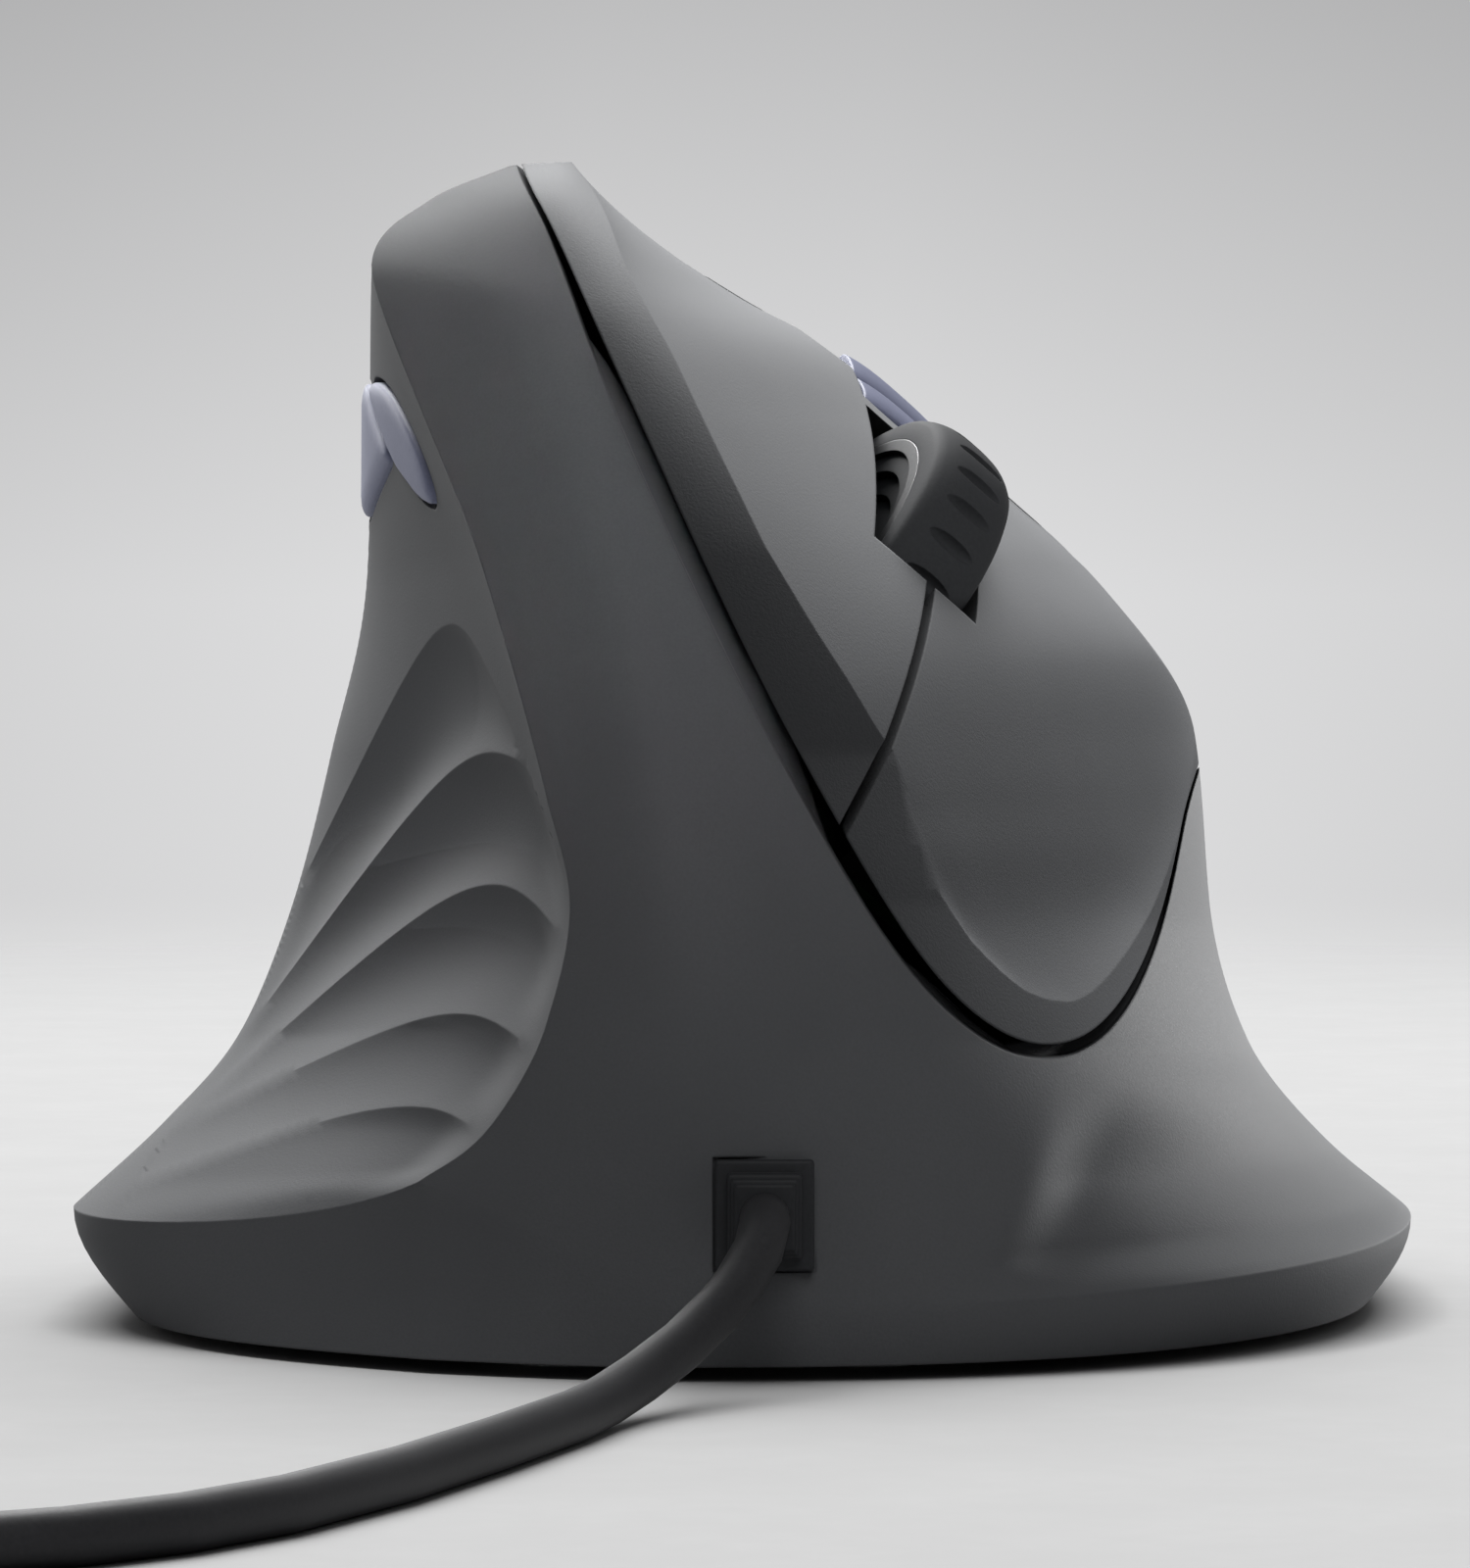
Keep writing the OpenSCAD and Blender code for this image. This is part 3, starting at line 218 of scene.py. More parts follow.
class Finishes:
    """All finishes of the mouse, each named for what it really is."""

    def __init__(self) -> None:
        """Make every material once."""
        # Spark-eroded tool skin under a soft-touch lacquer: dark, dull, finely dotted
        self.shell = Finish("soft_touch_lacquered_abs", "#454648", "#4a4b4d", 0.74, 0.07, 0.18, 0.017,
                            specular=0.1, edge_mm=0.22).make()
        # Plain moulded ABS under the body: blacker, a little coarser
        self.base = Finish("moulded_black_abs", "#1f2022", "#28292b", 0.55, 0.06, 0.35, 0.012, edge_mm=0.2).make()
        # Sintered PTFE: waxy, off-white, slightly mottled
        self.glide = Finish("sintered_ptfe", "#dcdcd8", "#e9e9e6", 0.42, 0.05, 0.6, 0.004, edge_mm=0.15).make()
        # Zinc-plated steel: grey, faintly cloudy
        self.screw = Finish("zinc_plated_steel", "#a9acb0", "#bfc2c6", 0.32, 0.06, 0.4, 0.004,
                            metallic=1.0).make()
        # Glass-filled nylon inside: black and dull
        self.inner = Finish("glass_filled_nylon", "#222325", "#2c2d30", 0.6, 0.06, 0.4, 0.012).make()
        # Switch housings: harder black thermoset
        self.switch = Finish("black_pbt", "#17181a", "#202124", 0.42, 0.05, 0.5, 0.006).make()
        # Plungers: bone-coloured acetal
        self.plunger = Finish("bone_acetal", "#cfc9b9", "#dad5c8", 0.38, 0.04, 0.5, 0.004).make()
        # Moulded silicone tyre: near black, dull, dusty
        self.tyre = Finish("moulded_silicone_rubber", "#333436", "#3d3e40", 0.72, 0.08, 0.25, 0.012,
                           specular=0.1, edge_mm=0.15).make()
        # Satin moulded hub
        self.hub = Finish("satin_grey_abs", "#1a1c1e", "#232528", 0.46, 0.06, 0.3, 0.006, edge_mm=0.12).make()
        # Lavender-grey painted ABS: satin, smoother than the shell
        self.button = Finish("satin_lavender_abs", "#6a6e85", "#757990", 0.55, 0.05, 0.4, 0.004,
                             specular=0.2).make()
        # Solder mask over woven glass laminate
        self.board = Finish("green_solder_mask", "#1f4a2c", "#2a5a38", 0.35, 0.06, 0.5, 0.006).make()
        # Transfer-moulded epoxy package
        self.chip = Finish("moulded_epoxy", "#141516", "#1e1f20", 0.5, 0.05, 0.3, 0.006).make()
        # Injection-moulded polycarbonate optics
        self.lens = Finish("clear_polycarbonate", "#e6eef2", "#f2f6f8", 0.08, 0.02, 2.0, 0.0005, ior=1.58,
                           transmission=0.9).make()
        # Natural nylon socket
        self.socket = Finish("natural_nylon", "#d9d5c6", "#e4e0d4", 0.45, 0.05, 0.5, 0.005).make()
        # Polyester flat cable
        self.ribbon = Finish("polyester_film", "#cfcabb", "#dcd8cc", 0.3, 0.05, 0.7, 0.003).make()
        # Cord sheath and its mouldings: soft black PVC
        self.sheath = Finish("soft_black_pvc", "#202022", "#2a2a2c", 0.6, 0.06, 0.3, 0.008, specular=0.2).make()
        self.gland = Finish("moulded_black_pvc", "#1c1d1f", "#26272a", 0.62, 0.06, 0.3, 0.008, specular=0.2,
                            edge_mm=0.12).make()
        # Woven hook-and-loop strap: fuzzy and dull
        self.strap = Finish("woven_nylon_strap", "#17181b", "#2b2c31", 0.85, 0.06, 0.35, 0.09).make()
        # Nickel-plated stamped plug shell
        self.plug = Finish("nickel_plated_steel", "#b9bbbd", "#c9cbcd", 0.24, 0.06, 0.5, 0.003,
                           metallic=1.0).make()
        # Plug tongue: white PBT
        self.tongue = Finish("white_pbt", "#dfdfe2", "#e9e9ec", 0.4, 0.05, 0.5, 0.004).make()
        # Contacts: flash gold
        self.contact = Finish("flash_gold_contact", "#c9a24a", "#d9b765", 0.25, 0.05, 0.5, 0.002,
                              metallic=1.0).make()
        # Painted studio floor
        self.floor = Finish("matt_studio_floor", "#b0b0b0", "#b4b4b4", 0.85, 0.04, 3.0, 0.01, fade_m=0.7).make()


@dataclass(frozen=True)
class Track:
    """Smooth curve through a table with uneven steps, without overshoot."""

    table: tuple[tuple[float, float], ...]

    def __call__(self, z: Array) -> Array:
        """Value of the curve.

        Args:
            z: Where to read the table.

        Returns:
            The values at z, held at both ends.
        """
        x, v = (np.array(column) for column in zip(*self.table))
        h = np.diff(x)
        g = np.diff(v) / h
        slope = np.zeros(len(x))
        slope[0], slope[-1] = g[0], g[-1]
        for i in range(1, len(x) - 1):
            if g[i - 1] * g[i] > 0:
                a, b = h[i - 1], h[i]
                slope[i] = 3 * (a + b) / ((2 * b + a) / g[i - 1] + (b + 2 * a) / g[i])
        q = np.clip(z, x[0], x[-1])
        i = np.clip(np.searchsorted(x, q, side="right") - 1, 0, len(x) - 2)
        u = (q - x[i]) / h[i]
        return ((1 + 2 * u) * (1 - u) ** 2 * v[i] + u * (1 - u) ** 2 * h[i] * slope[i]
                + u * u * (3 - 2 * u) * v[i + 1] + u * u * (u - 1) * h[i] * slope[i + 1])


def flow(rows: Array, t: float) -> Array:
    """Smooth row between evenly numbered stations.

    Args:
        rows: One row of values per station.
        t: Station number, whole or between.

    Returns:
        The blended row.
    """
    k = min(int(t), len(rows) - 2)
    u = t - k

    def rise(i: int) -> Array:
        """Slope at a station."""
        if i == 0:
            return rows[1] - rows[0]
        if i == len(rows) - 1:
            return rows[i] - rows[i - 1]
        a, b = rows[i] - rows[i - 1], rows[i + 1] - rows[i]
        same = a * b > 0
        return np.where(same, 2 * a * b / np.where(same, a + b, 1), 0)

    return ((1 + 2 * u) * (1 - u) ** 2 * rows[k] + u * (1 - u) ** 2 * rise(k)
            + u * u * (3 - 2 * u) * rows[k + 1] + u * u * (u - 1) * rise(k + 1))


@dataclass
class BodyForm:
    """The leaning body: five rails, a fluted thumb flank and a hollow finger face, in millimetres."""

    crease: Sequence[Point] = ((-19.2, -52.6, 0.8), (-19.5, -49.6, 10.9), (-16, -51, 13.4), (-12, -52.4, 20.1),
        (-10.6, -51.4, 27), (-12.2, -48, 34), (-16.1, -40.5, 47), (-23.5, -23, 65.6), (-20.2, -17, 69.9),
        (-15.2, -15, 72.2))
    nose: Sequence[Point] = ((-4, -57.2, 0.8), (-4, -57.6, 4.2), (-4, -57.4, 12), (-4, -56.6, 20),
        (-4.5, -55, 28), (-6, -52, 36), (-8, -46.8, 48), (-11, -36, 63), (-12.8, -26, 70), (-13, -17, 72.3))
    right: Sequence[Point] = ((39.7, -3, 0.8), (42.3, -3, 5.8), (37.6, 1, 9.7), (32.5, 3, 16.2),
        (30.3, 5, 23.7), (29.2, 6, 36), (21.6, 6, 47.4), (1.9, 6, 63.4), (-7.5, 3, 69.7), (-10.6, -9, 72.6))
    tail: Sequence[Point] = ((1, 57, 0.8), (1, 59.5, 6), (1, 58.5, 12), (0, 56, 20), (-1, 52, 29), (-2, 46, 38),
        (-6, 35, 50), (-10, 17, 64), (-12, 3, 70), (-13, -7, 72.4))
    flank: Sequence[Point] = ((-38.5, -19, 0.8), (-42.3, -19, 7.1), (-37, -14, 12), (-32.8, -9, 17),
        (-29.7, -3, 25), (-27.3, 1, 35), (-25, 1, 46), (-24.2, -5, 65.5), (-20, -7, 70.7), (-15.4, -9, 72.2))
    fullness: Sequence[float] = (2.3, 2.3, 2.1, 1.9, 1.85, 1.9, 2.3, 2.3, 2.3, 2.3)
    pull: Sequence[Point] = ((0.6, 0.42, 0.18), (0.6, 0.3, 0.25), (0.42, 0.24, 0.3), (0.28, 0.2, 0.33),
        (0.27, 0.18, 0.33), (0.27, 0.18, 0.33), (0.27, 0.2, 0.33), (0.3, 0.3, 0.3), (0.3, 0.3, 0.3),
        (0.3, 0.3, 0.3))
    ridges: Sequence[Point] = ((-18.3, 43.4, 2, 2.8, 2.5), (-15.5, 35.7, 1.4, 1.2, 4),
        (-15.1, 27.8, 0.94, 1.7, 4.5), (-16.8, 20.2, 0.53, 0.9, 4), (-19.3, 14.8, 0.41, 0.9, 5),
        (-24.2, 9.8, 0.31, 0.5, 3))
    nose_flat: float = 0.62
    fold_depth: float = 2.2
    flute_depth: float = 1.2
    flute_span: float = 8.0
    last_span: float = 3.0
    least_span: float = 0.4
    reach: Track = Track(((10, 43), (18, 37), (22, 34.2), (26, 32), (30, 31), (33, 30.3), (36, 29.4),
        (41, 27.6), (47.4, 21.6), (51, 17.4), (56, 11.9), (60.7, 6.7), (64.8, -1), (68.7, -6.8),
        (72.7, -11.5)))
    fall: Track = Track(((10, 27.5), (18, 25.8), (22, 24.3), (26, 23.6), (30, 23.5), (33, 23.7), (36, 23.7),
        (41, 23.9), (47.4, 21.2), (51, 18.8), (56, 15.75), (60.7, 12.6), (64.8, 6.75), (68.7, 2.6), (72.7, 0)))
    brow: Track = Track(((10, -55), (30, -51), (45, -47.5), (55, -42.5), (62, -36.5), (68, -29), (74, -21)))
    thick: Sequence[Point] = ((16, 0.75), (30, 0.8), (36, 0.87), (44, 1), (56, 0.87), (66, 1), (73, 2))
    rim: Sequence[Point] = ((-47, 27), (-46.2, 24.7), (-45.2, 23), (-44, 21.7), (-42.3, 21.2), (-39.9, 21),
        (-37.5, 21.4), (-34.3, 22.3), (-30.3, 23.6), (-25.8, 25.2), (-22, 27.1), (-17.7, 29.2), (-14.4, 30.9),
        (-10.8, 32.8), (8, 42))
    dish_depth: float = 0.55
    dish_len: float = 3.0
    edge_turn: float = -3.0
    key_edge: Sequence[Point] = ((-16.05, 76), (-13.91, 72.77), (-12.16, 70.19), (-10.81, 68.06),
        (-9.61, 65.84), (-8.4, 63.43), (-7.16, 60.93), (-5.91, 58.41), (-4.66, 55.91), (-3.45, 53.45),
        (-2.31, 51.09), (-1.22, 48.83), (-0.13, 46.6), (1.01, 44.31), (2.18, 41.98), (3.37, 39.67),
        (4.57, 37.41), (5.81, 35.16), (7.08, 32.87), (8.39, 30.57), (9.69, 28.34), (10.96, 26.27),
        (12.18, 24.44), (13.34, 22.91), (14.48, 21.64), (15.61, 20.58), (16.73, 19.73), (17.84, 19.09),
        (18.98, 18.68), (20.12, 18.53), (21.22, 18.65), (22.22, 19.02), (23.15, 19.66), (24.04, 20.56),
        (24.86, 21.68), (25.6, 23), (26.24, 24.49), (26.8, 26.12), (27.29, 27.88), (27.71, 29.7),
        (28.11, 31.53), (28.69, 33.29), (29.52, 35))
    sill_edge: Sequence[Point] = ((-16.3, 75.83), (-14.16, 72.6), (-12.41, 70.03), (-11.09, 67.89),
        (-10.01, 65.64), (-8.94, 63.16), (-7.87, 60.57), (-6.76, 57.98), (-5.65, 55.42), (-4.49, 52.95),
        (-3.35, 50.59), (-2.26, 48.33), (-1.16, 46.09), (-0.02, 43.8), (1.16, 41.46), (2.35, 39.14),
        (3.56, 36.86), (4.8, 34.6), (6.08, 32.31), (7.39, 30), (8.73, 27.76), (10.04, 25.67), (11.33, 23.83),
        (12.57, 22.27), (13.8, 20.97), (15.01, 19.88), (16.23, 18.98), (17.47, 18.29), (18.77, 17.85),
        (20.11, 17.7), (21.4, 17.87), (22.57, 18.36), (23.59, 19.14), (24.5, 20.17), (25.28, 21.41),
        (25.97, 22.81), (26.57, 24.36), (27.07, 26.04), (27.51, 27.82), (27.9, 29.66), (28.3, 31.47),
        (28.87, 33.21), (29.7, 34.91))
    full_y: float = 6.0
    face_power: float = 1.8
    deck_t: float = 3.1
    deck_gap: float = 1.6

    def along(self, rail: Sequence[Point], t: float) -> Array:
        """Point on a rail at a station."""
        rows = np.array(rail, float)
        if t < 1:
            w = math.sin(math.pi / 2 * t)
            return np.append(lift(rows[0, :2], rows[1, :2], w), lift(rows[0, 2], rows[1, 2], t))
        return flow(rows[1:], t - 1)

    @staticmethod
    def step_value(rows: Sequence, t: float) -> Array:
        """Straight value between stations."""
        k = min(int(t), len(rows) - 2)
        return lift(np.array(rows[k], float), np.array(rows[k + 1], float), t - k)

    def ridge_heights(self, x: Array) -> Array:
        """Height of every thumb ridge over x, one row per ridge."""
        rows = []
        for peak_x, peak_z, to_wing, to_crease, roundness in self.ridges:
            d = x - peak_x
            bend = np.sqrt(d * d + roundness ** 2) - roundness
            rows.append(peak_z - np.where(d < 0, to_wing, to_crease) * bend)
        return np.array(rows)

    def flute(self, x: Array, z: Array, u: Array) -> Array:
        """Depth of the thumb flutes: a scallop between each ridge and the next.

        Args:
            x: Places across the body.
            z: Heights.
            u: Share of the way from the flank to the crease.

        Returns:
            Depth inwards at each place.
        """
        h = self.ridge_heights(x)
        k = (h > z + 1e-6).sum(axis=0) - 1
        i = np.clip(k, 0, len(h) - 1)
        top = np.take_along_axis(h, i[None], 0)[0]
        below = np.take_along_axis(h, np.clip(i + 1, 0, len(h) - 1)[None], 0)[0]
        span = np.where(i < len(h) - 1, top - below, self.last_span)
        fade = smooth((u - 0.02) / 0.16) * smooth((0.99 - u) / 0.16)
        s = np.clip((top - z) / np.maximum(span, self.least_span), 0, 1)
        deep = np.clip((span - self.least_span) / self.flute_span, 0, 1)
        return np.where(k < 0, 0.0, self.flute_depth * fade * 4 * s * (1 - s) * deep)

    def fold(self, u: Array, t: float) -> Array:
        """Depth of the soft hollow in the skirt on the key side."""
        return (self.fold_depth * smooth((u - lift(0.26, 0.41, (t - 1.7) / 1.2)) / 0.12) * smooth((1 - u) / 0.55)
                * float(smooth((t - 1) / 0.35)) * float(smooth((2.8 - t) / 0.9)))

    def section(self, t: float, counts: Sequence[int]) -> Array:
        """One closed section of the body.

        Args:
            t: Station, 0 at the floor edge and 9 at the top.
            counts: Points from crease to nose, key side, tail, thumb flank and back.

        Returns:
            Points of the ring.
        """
        l, m, e, k, f = (self.along(r, t) for r in (self.crease, self.nose, self.right, self.tail, self.flank))
        u = np.linspace(0, 1, counts[0], endpoint=False)
        cx = lift(l[0], m[0], self.nose_flat)
        front = [(1 - u) ** 2 * l[0] + 2 * u * (1 - u) * cx + u * u * m[0],
                 (1 - u) ** 2 * l[1] + (2 - u) * u * m[1], lift(l[2], m[2], u)]

        def arc(n: int, power: float) -> tuple[Array, Array, Array]:
            """Superellipse steps: share, rising part, falling part."""
            v = np.linspace(0, 1, n, endpoint=False)
            return (v, np.sin(np.pi / 2 * v) ** (2 / power), np.cos(np.pi / 2 * v) ** (2 / power))

        v, s, c = arc(counts[1], float(self.step_value(self.fullness, t)))
        span = e[:2] - m[:2]
        fold = self.fold(v, t) / np.linalg.norm(span)
        keys = [lift(m[0], e[0], s) - span[1] * fold, e[1] - (e[1] - m[1]) * c + span[0] * fold,
                lift(m[2], e[2], smooth(v))]
        v, s, c = arc(counts[2], 2.2)
        behind = [lift(k[0], e[0], c), lift(e[1], k[1], s), lift(e[2], k[2], smooth(v))]
        v, s, c = arc(counts[3], 2.2)
        back = [lift(k[0], f[0], s), lift(f[1], k[1], c), lift(k[2], f[2], smooth(v))]
        v = np.linspace(0, 1, counts[4], endpoint=False)
        p = self.step_value(self.pull, t)
        a = (f[0], f[1] + p[0] * (l[1] - f[1]))
        b = (l[0] - p[1] * (l[0] - f[0]), l[1] - p[2] * (l[1] - f[1]))
        x, y = ((1 - v) ** 3 * f[i] + 3 * v * (1 - v) ** 2 * a[i] + 3 * v * v * (1 - v) * b[i] + v ** 3 * l[i]
                for i in (0, 1))
        z = lift(f[2], l[2], lift(v ** 3, smooth(v), min(max(t - 1, 0), 1)))
        return np.vstack([np.column_stack(part) for part in (front, keys, behind, back, (x, y, z))])

    def drawn_in(self, t: float, counts: Sequence[int], wall: float) -> Array:
        """Section moved towards its middle by a wall."""
        ring = self.section(t, counts)
        e, f, m, k = (self.along(r, t) for r in (self.right, self.flank, self.nose, self.tail))
        middle = np.array([(e[0] + f[0]) / 2, (m[1] + k[1]) / 2])
        away = ring[:, :2] - middle
        share = np.maximum(0.05, 1 - wall / np.linalg.norm(away, axis=1))
        ring[:, :2] = middle + away * share[:, None]
        return ring

    def ahead(self, y: Array, z: Array) -> Array:
        """Share of the way from the fullest line to the front edge of the finger face."""
        return np.clip((self.full_y - y) / (self.full_y - self.brow(z)), 0, 1.4)

    def face_x(self, y: Array, z: Array) -> Array:
        """Finger face as x over y and z."""
        return (self.reach(z) - self.fall(z) * self.ahead(y, z) ** self.face_power
                + 0.2 * np.maximum(0, y - self.full_y) - self.dish(y, z))

    def dish(self, y: Array, z: Array) -> Array:
        """Hollow of the finger face above its lower edge."""
        rows = np.array(self.rim)
        h = (z - np.interp(y, rows[:, 0], rows[:, 1])) / self.dish_len
        a = np.minimum(1, self.ahead(y, z))
        share = np.where(h < 0, math.e * h, h * np.exp(1 - np.maximum(h, 0)))
        return (self.dish_depth * share * (1 - a ** 6) * smooth((a - 0.15) / 0.35)
                * (1 - smooth((z - 34) / 14)))

    def under_x(self, y: Array, z: Array) -> Array:
        """Underside of the keys."""
        rows = np.array(self.thick)
        return (self.face_x(y, z) - self.deck_t * np.interp(z, rows[:, 0], rows[:, 1])
                * (1 + 0.22 * smooth((self.ahead(y, z) - 0.8) / 0.15)))

    def sill_x(self, y: Array, z: Array) -> Array:
        """Floor of the opening under the keys."""
        return self.under_x(y, z) - self.deck_gap


@dataclass(frozen=True)
class DeckAxes:
    """Axes of the finger deck at the wheel: u along the axle, v rearwards, w outwards."""

    origin: tuple[float, float, float] = (11.2, -23.2, 50.4)
    lean: float = 46.0
    nod: float = 17.0
    turn: float = 17.0

    def matrix(self) -> Matrix:
        """Deck to body, in millimetres."""
        return (Matrix.Translation(self.origin) @ turned(self.lean, "Y") @ turned(self.nod, "X")
                @ turned(self.turn, "Z"))


def clear_selection() -> None:
    """Deselect every object."""
    for obj in bpy.context.view_layer.objects:
        obj.select_set(False)


def focus(obj: Obj) -> None:
    """Make one object the only selected and active one."""
    clear_selection()
    obj.select_set(True)
    bpy.context.view_layer.objects.active = obj


@contextmanager
def editing(obj: Obj) -> Iterator[None]:
    """Edit mode with all of one object selected."""
    focus(obj)
    bpy.ops.object.mode_set(mode="EDIT")
    bpy.ops.mesh.select_all(action="SELECT")
    yield
    bpy.ops.object.mode_set(mode="OBJECT")


def linked(name: str, data: bpy.types.ID) -> Obj:
    """New object over its data, linked to the scene."""
    obj = bpy.data.objects.new(name, data)
    bpy.context.scene.collection.objects.link(obj)
    return obj


def mesh_object(name: str, points: Array, faces: Sequence[Sequence[int]]) -> Obj:
    """New object from points in millimetres.

    Args:
        name: Name of the object.
        points: Corner places.
        faces: Corner numbers of each face.

    Returns:
        The linked object, still in millimetres.
    """
    mesh = bpy.data.meshes.new(name)
    mesh.from_pydata(np.asarray(points, float).tolist(), [], [list(f) for f in faces])
    mesh.update()
    return linked(name, mesh)


def turned(degrees: float, axis: str) -> Matrix:
    """Turn about an axis."""
    return Matrix.Rotation(math.radians(degrees), 4, axis)


def loft(name: str, rings: Sequence[Array]) -> Obj:
    """Skin through rings of equal count, closed at both ends.

    Args:
        name: Name of the object.
        rings: Rings from the foot up.

    Returns:
        The closed object.
    """
    n, m = len(rings[0]), len(rings)
    points = np.vstack(list(rings) + [rings[0].mean(0), rings[-1].mean(0)])
    faces = [(j * n + i, j * n + (i + 1) % n, (j + 1) * n + (i + 1) % n, (j + 1) * n + i)
             for j in range(m - 1) for i in range(n)]
    faces += [(m * n, (i + 1) % n, i) for i in range(n)]
    faces += [(m * n + 1, (m - 1) * n + i, (m - 1) * n + (i + 1) % n) for i in range(n)]
    return mesh_object(name, points, faces)


def slab(name: str, near: Surface, beyond: Surface, ys: Array, zs: Array) -> Obj:
    """Solid between two surfaces given as x over y and z.

    Args:
        name: Name of the object.
        near: Surface on the thumb side.
        beyond: Surface on the key side.
        ys: Grid lines along the body.
        zs: Grid lines up the body.

    Returns:
        The closed object.
    """
    n, m = len(ys), len(zs)
    q = n * m
    gy, gz = np.meshgrid(ys, zs)
    gy, gz = gy.ravel(), gz.ravel()
    points = np.vstack([np.column_stack([s(gy, gz), gy, gz]) for s in (near, beyond)])
    faces = []
    for j in range(m - 1):
        for i in range(n - 1):
            a, b, c, d = j * n + i, j * n + i + 1, (j + 1) * n + i + 1, (j + 1) * n + i
            faces += [(a, d, c, b), (q + a, q + b, q + c, q + d)]
        a, b, c, d = j * n, (j + 1) * n, j * n + n - 1, (j + 1) * n + n - 1
        faces += [(a, q + a, q + b, b), (c, d, q + d, q + c)]
    for i in range(n - 1):
        a, b = i, (m - 1) * n + i
        faces += [(a, a + 1, q + a + 1, q + a), (b, q + b, q + b + 1, b + 1)]
    return mesh_object(name, points, faces)


def prism(name: str, ring: Array, axis: int, low: float, high: float) -> Obj:
    """Straight prism over a closed outline.

    Args:
        name: Name of the object.
        ring: Outline in the two other axes, in X, Y, Z order.
        axis: Number of the prism's axis.
        low: Lower end along the axis.
        high: Upper end along the axis.

    Returns:
        The closed object with its faces outwards.
    """
    n = len(ring)
    points = np.vstack([np.insert(ring, axis, end, axis=1) for end in (low, high)])
    faces = [(i, (i + 1) % n, n + (i + 1) % n, n + i) for i in range(n)]
    obj = mesh_object(name, points, faces + [tuple(range(n - 1, -1, -1)), tuple(range(n, 2 * n))])
    outwards(obj)
    return obj


def outwards(obj: Obj) -> None:
    """Merge doubles and turn all faces outwards."""
    with editing(obj):
        bpy.ops.mesh.remove_doubles(threshold=1e-6)
        bpy.ops.mesh.normals_make_consistent(inside=False)


def box(name: str, low: Point, high: Point, at: Optional[Matrix] = None) -> Obj:
    """Block between two corners, in its own axes.

    Args:
        name: Name of the object.
        low: Lowest corner.
        high: Highest corner.
        at: Axes of the block in the body.

    Returns:
        The block in millimetres, with its place in its mesh.
    """
    clear_selection()
    bpy.ops.mesh.primitive_cube_add(size=1)
    obj = bpy.context.object
    obj.name = name
    size = [h - l for l, h in zip(low, high)]
    middle = [(h + l) / 2 for l, h in zip(low, high)]
    obj.data.transform(Matrix.Translation(middle) @ Matrix.Diagonal((*size, 1)))
    if at is not None:
        obj.data.transform(at)
    return obj


def rod(name: str, radius: float, low: float, high: float, at: Matrix, sides: int = 64) -> Obj:
    """Round bar along its own z axis.

    Args:
        name: Name of the object.
        radius: Radius of the bar.
        low: Lower end.
        high: Upper end.
        at: Axes of the bar in the body.
        sides: Number of sides.

    Returns:
        The bar in millimetres, with its place in its mesh.
    """
    clear_selection()
    bpy.ops.mesh.primitive_cylinder_add(vertices=sides, radius=radius, depth=high - low)
    obj = bpy.context.object
    obj.name = name
    obj.data.transform(at @ Matrix.Translation((0, 0, (low + high) / 2)))
    return obj


def apply(obj: Obj, kind: str, **settings: object) -> None:
    """Add one modifier and apply it.

    Args:
        obj: Object to change.
        kind: Modifier type name.
        **settings: Properties of the modifier.
    """
    modifier = obj.modifiers.new(kind.lower(), kind)
    for name, value in settings.items():
        setattr(modifier, name, value)
    focus(obj)
    bpy.ops.object.modifier_apply(modifier=modifier.name)


def meet(obj: Obj, tool: Obj, how: Cut) -> Obj:
    """Change a body by a tool body and drop the tool.

    Args:
        obj: Body that stays.
        tool: Body that is used up.
        how: What the tool does.

    Returns:
        The changed body.
    """
    apply(obj, "BOOLEAN", operation=how.value, solver="MANIFOLD", object=tool)
    bpy.data.objects.remove(tool)
    return obj


def join(name: str, parts: Sequence[Obj]) -> Obj:
    """Join closed parts into one object.

    Args:
        name: Name of the result.
        parts: Objects to join.

    Returns:
        The joined object.
    """
    focus(parts[0])
    for part in parts[1:]:
        part.select_set(True)
    bpy.ops.object.join()
    parts[0].name = name
    return parts[0]


def rounded(obj: Obj, width: float, segments: int = 3, angle: float = 40.0) -> Obj:
    """Round the sharp edges of a block."""
    apply(obj, "BEVEL", width=width, segments=segments, limit_method="ANGLE", angle_limit=math.radians(angle))
    return obj


def settle(obj: Obj, material: bpy.types.Material, body: str,
           nodes: Sequence[str] = (), angle: float = 16.0) -> Obj:
    """Turn a piece to metres, shade it, dress it and hand it to its body.

    Args:
        obj: Piece in millimetres.
        material: Finish of the piece.
        body: Body that carries it.
        nodes: Solids that the piece stands for.
        angle: Edges sharper than this stay sharp.

    Returns:
        The finished piece.
    """
    with editing(obj):
        bpy.ops.mesh.remove_doubles(threshold=0.01)
        bpy.ops.mesh.dissolve_degenerate(threshold=0.01)
    obj.data.transform(Matrix.Diagonal((MM, MM, MM, 1)))
    obj.data.materials.clear()
    obj.data.materials.append(material)
    bpy.ops.object.shade_smooth_by_angle(angle=math.radians(angle))
    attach(obj, body)
    if nodes:
        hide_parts(*nodes)
    LOG.info("%s: %d faces on %s", obj.name, len(obj.data.polygons), body)
    return obj


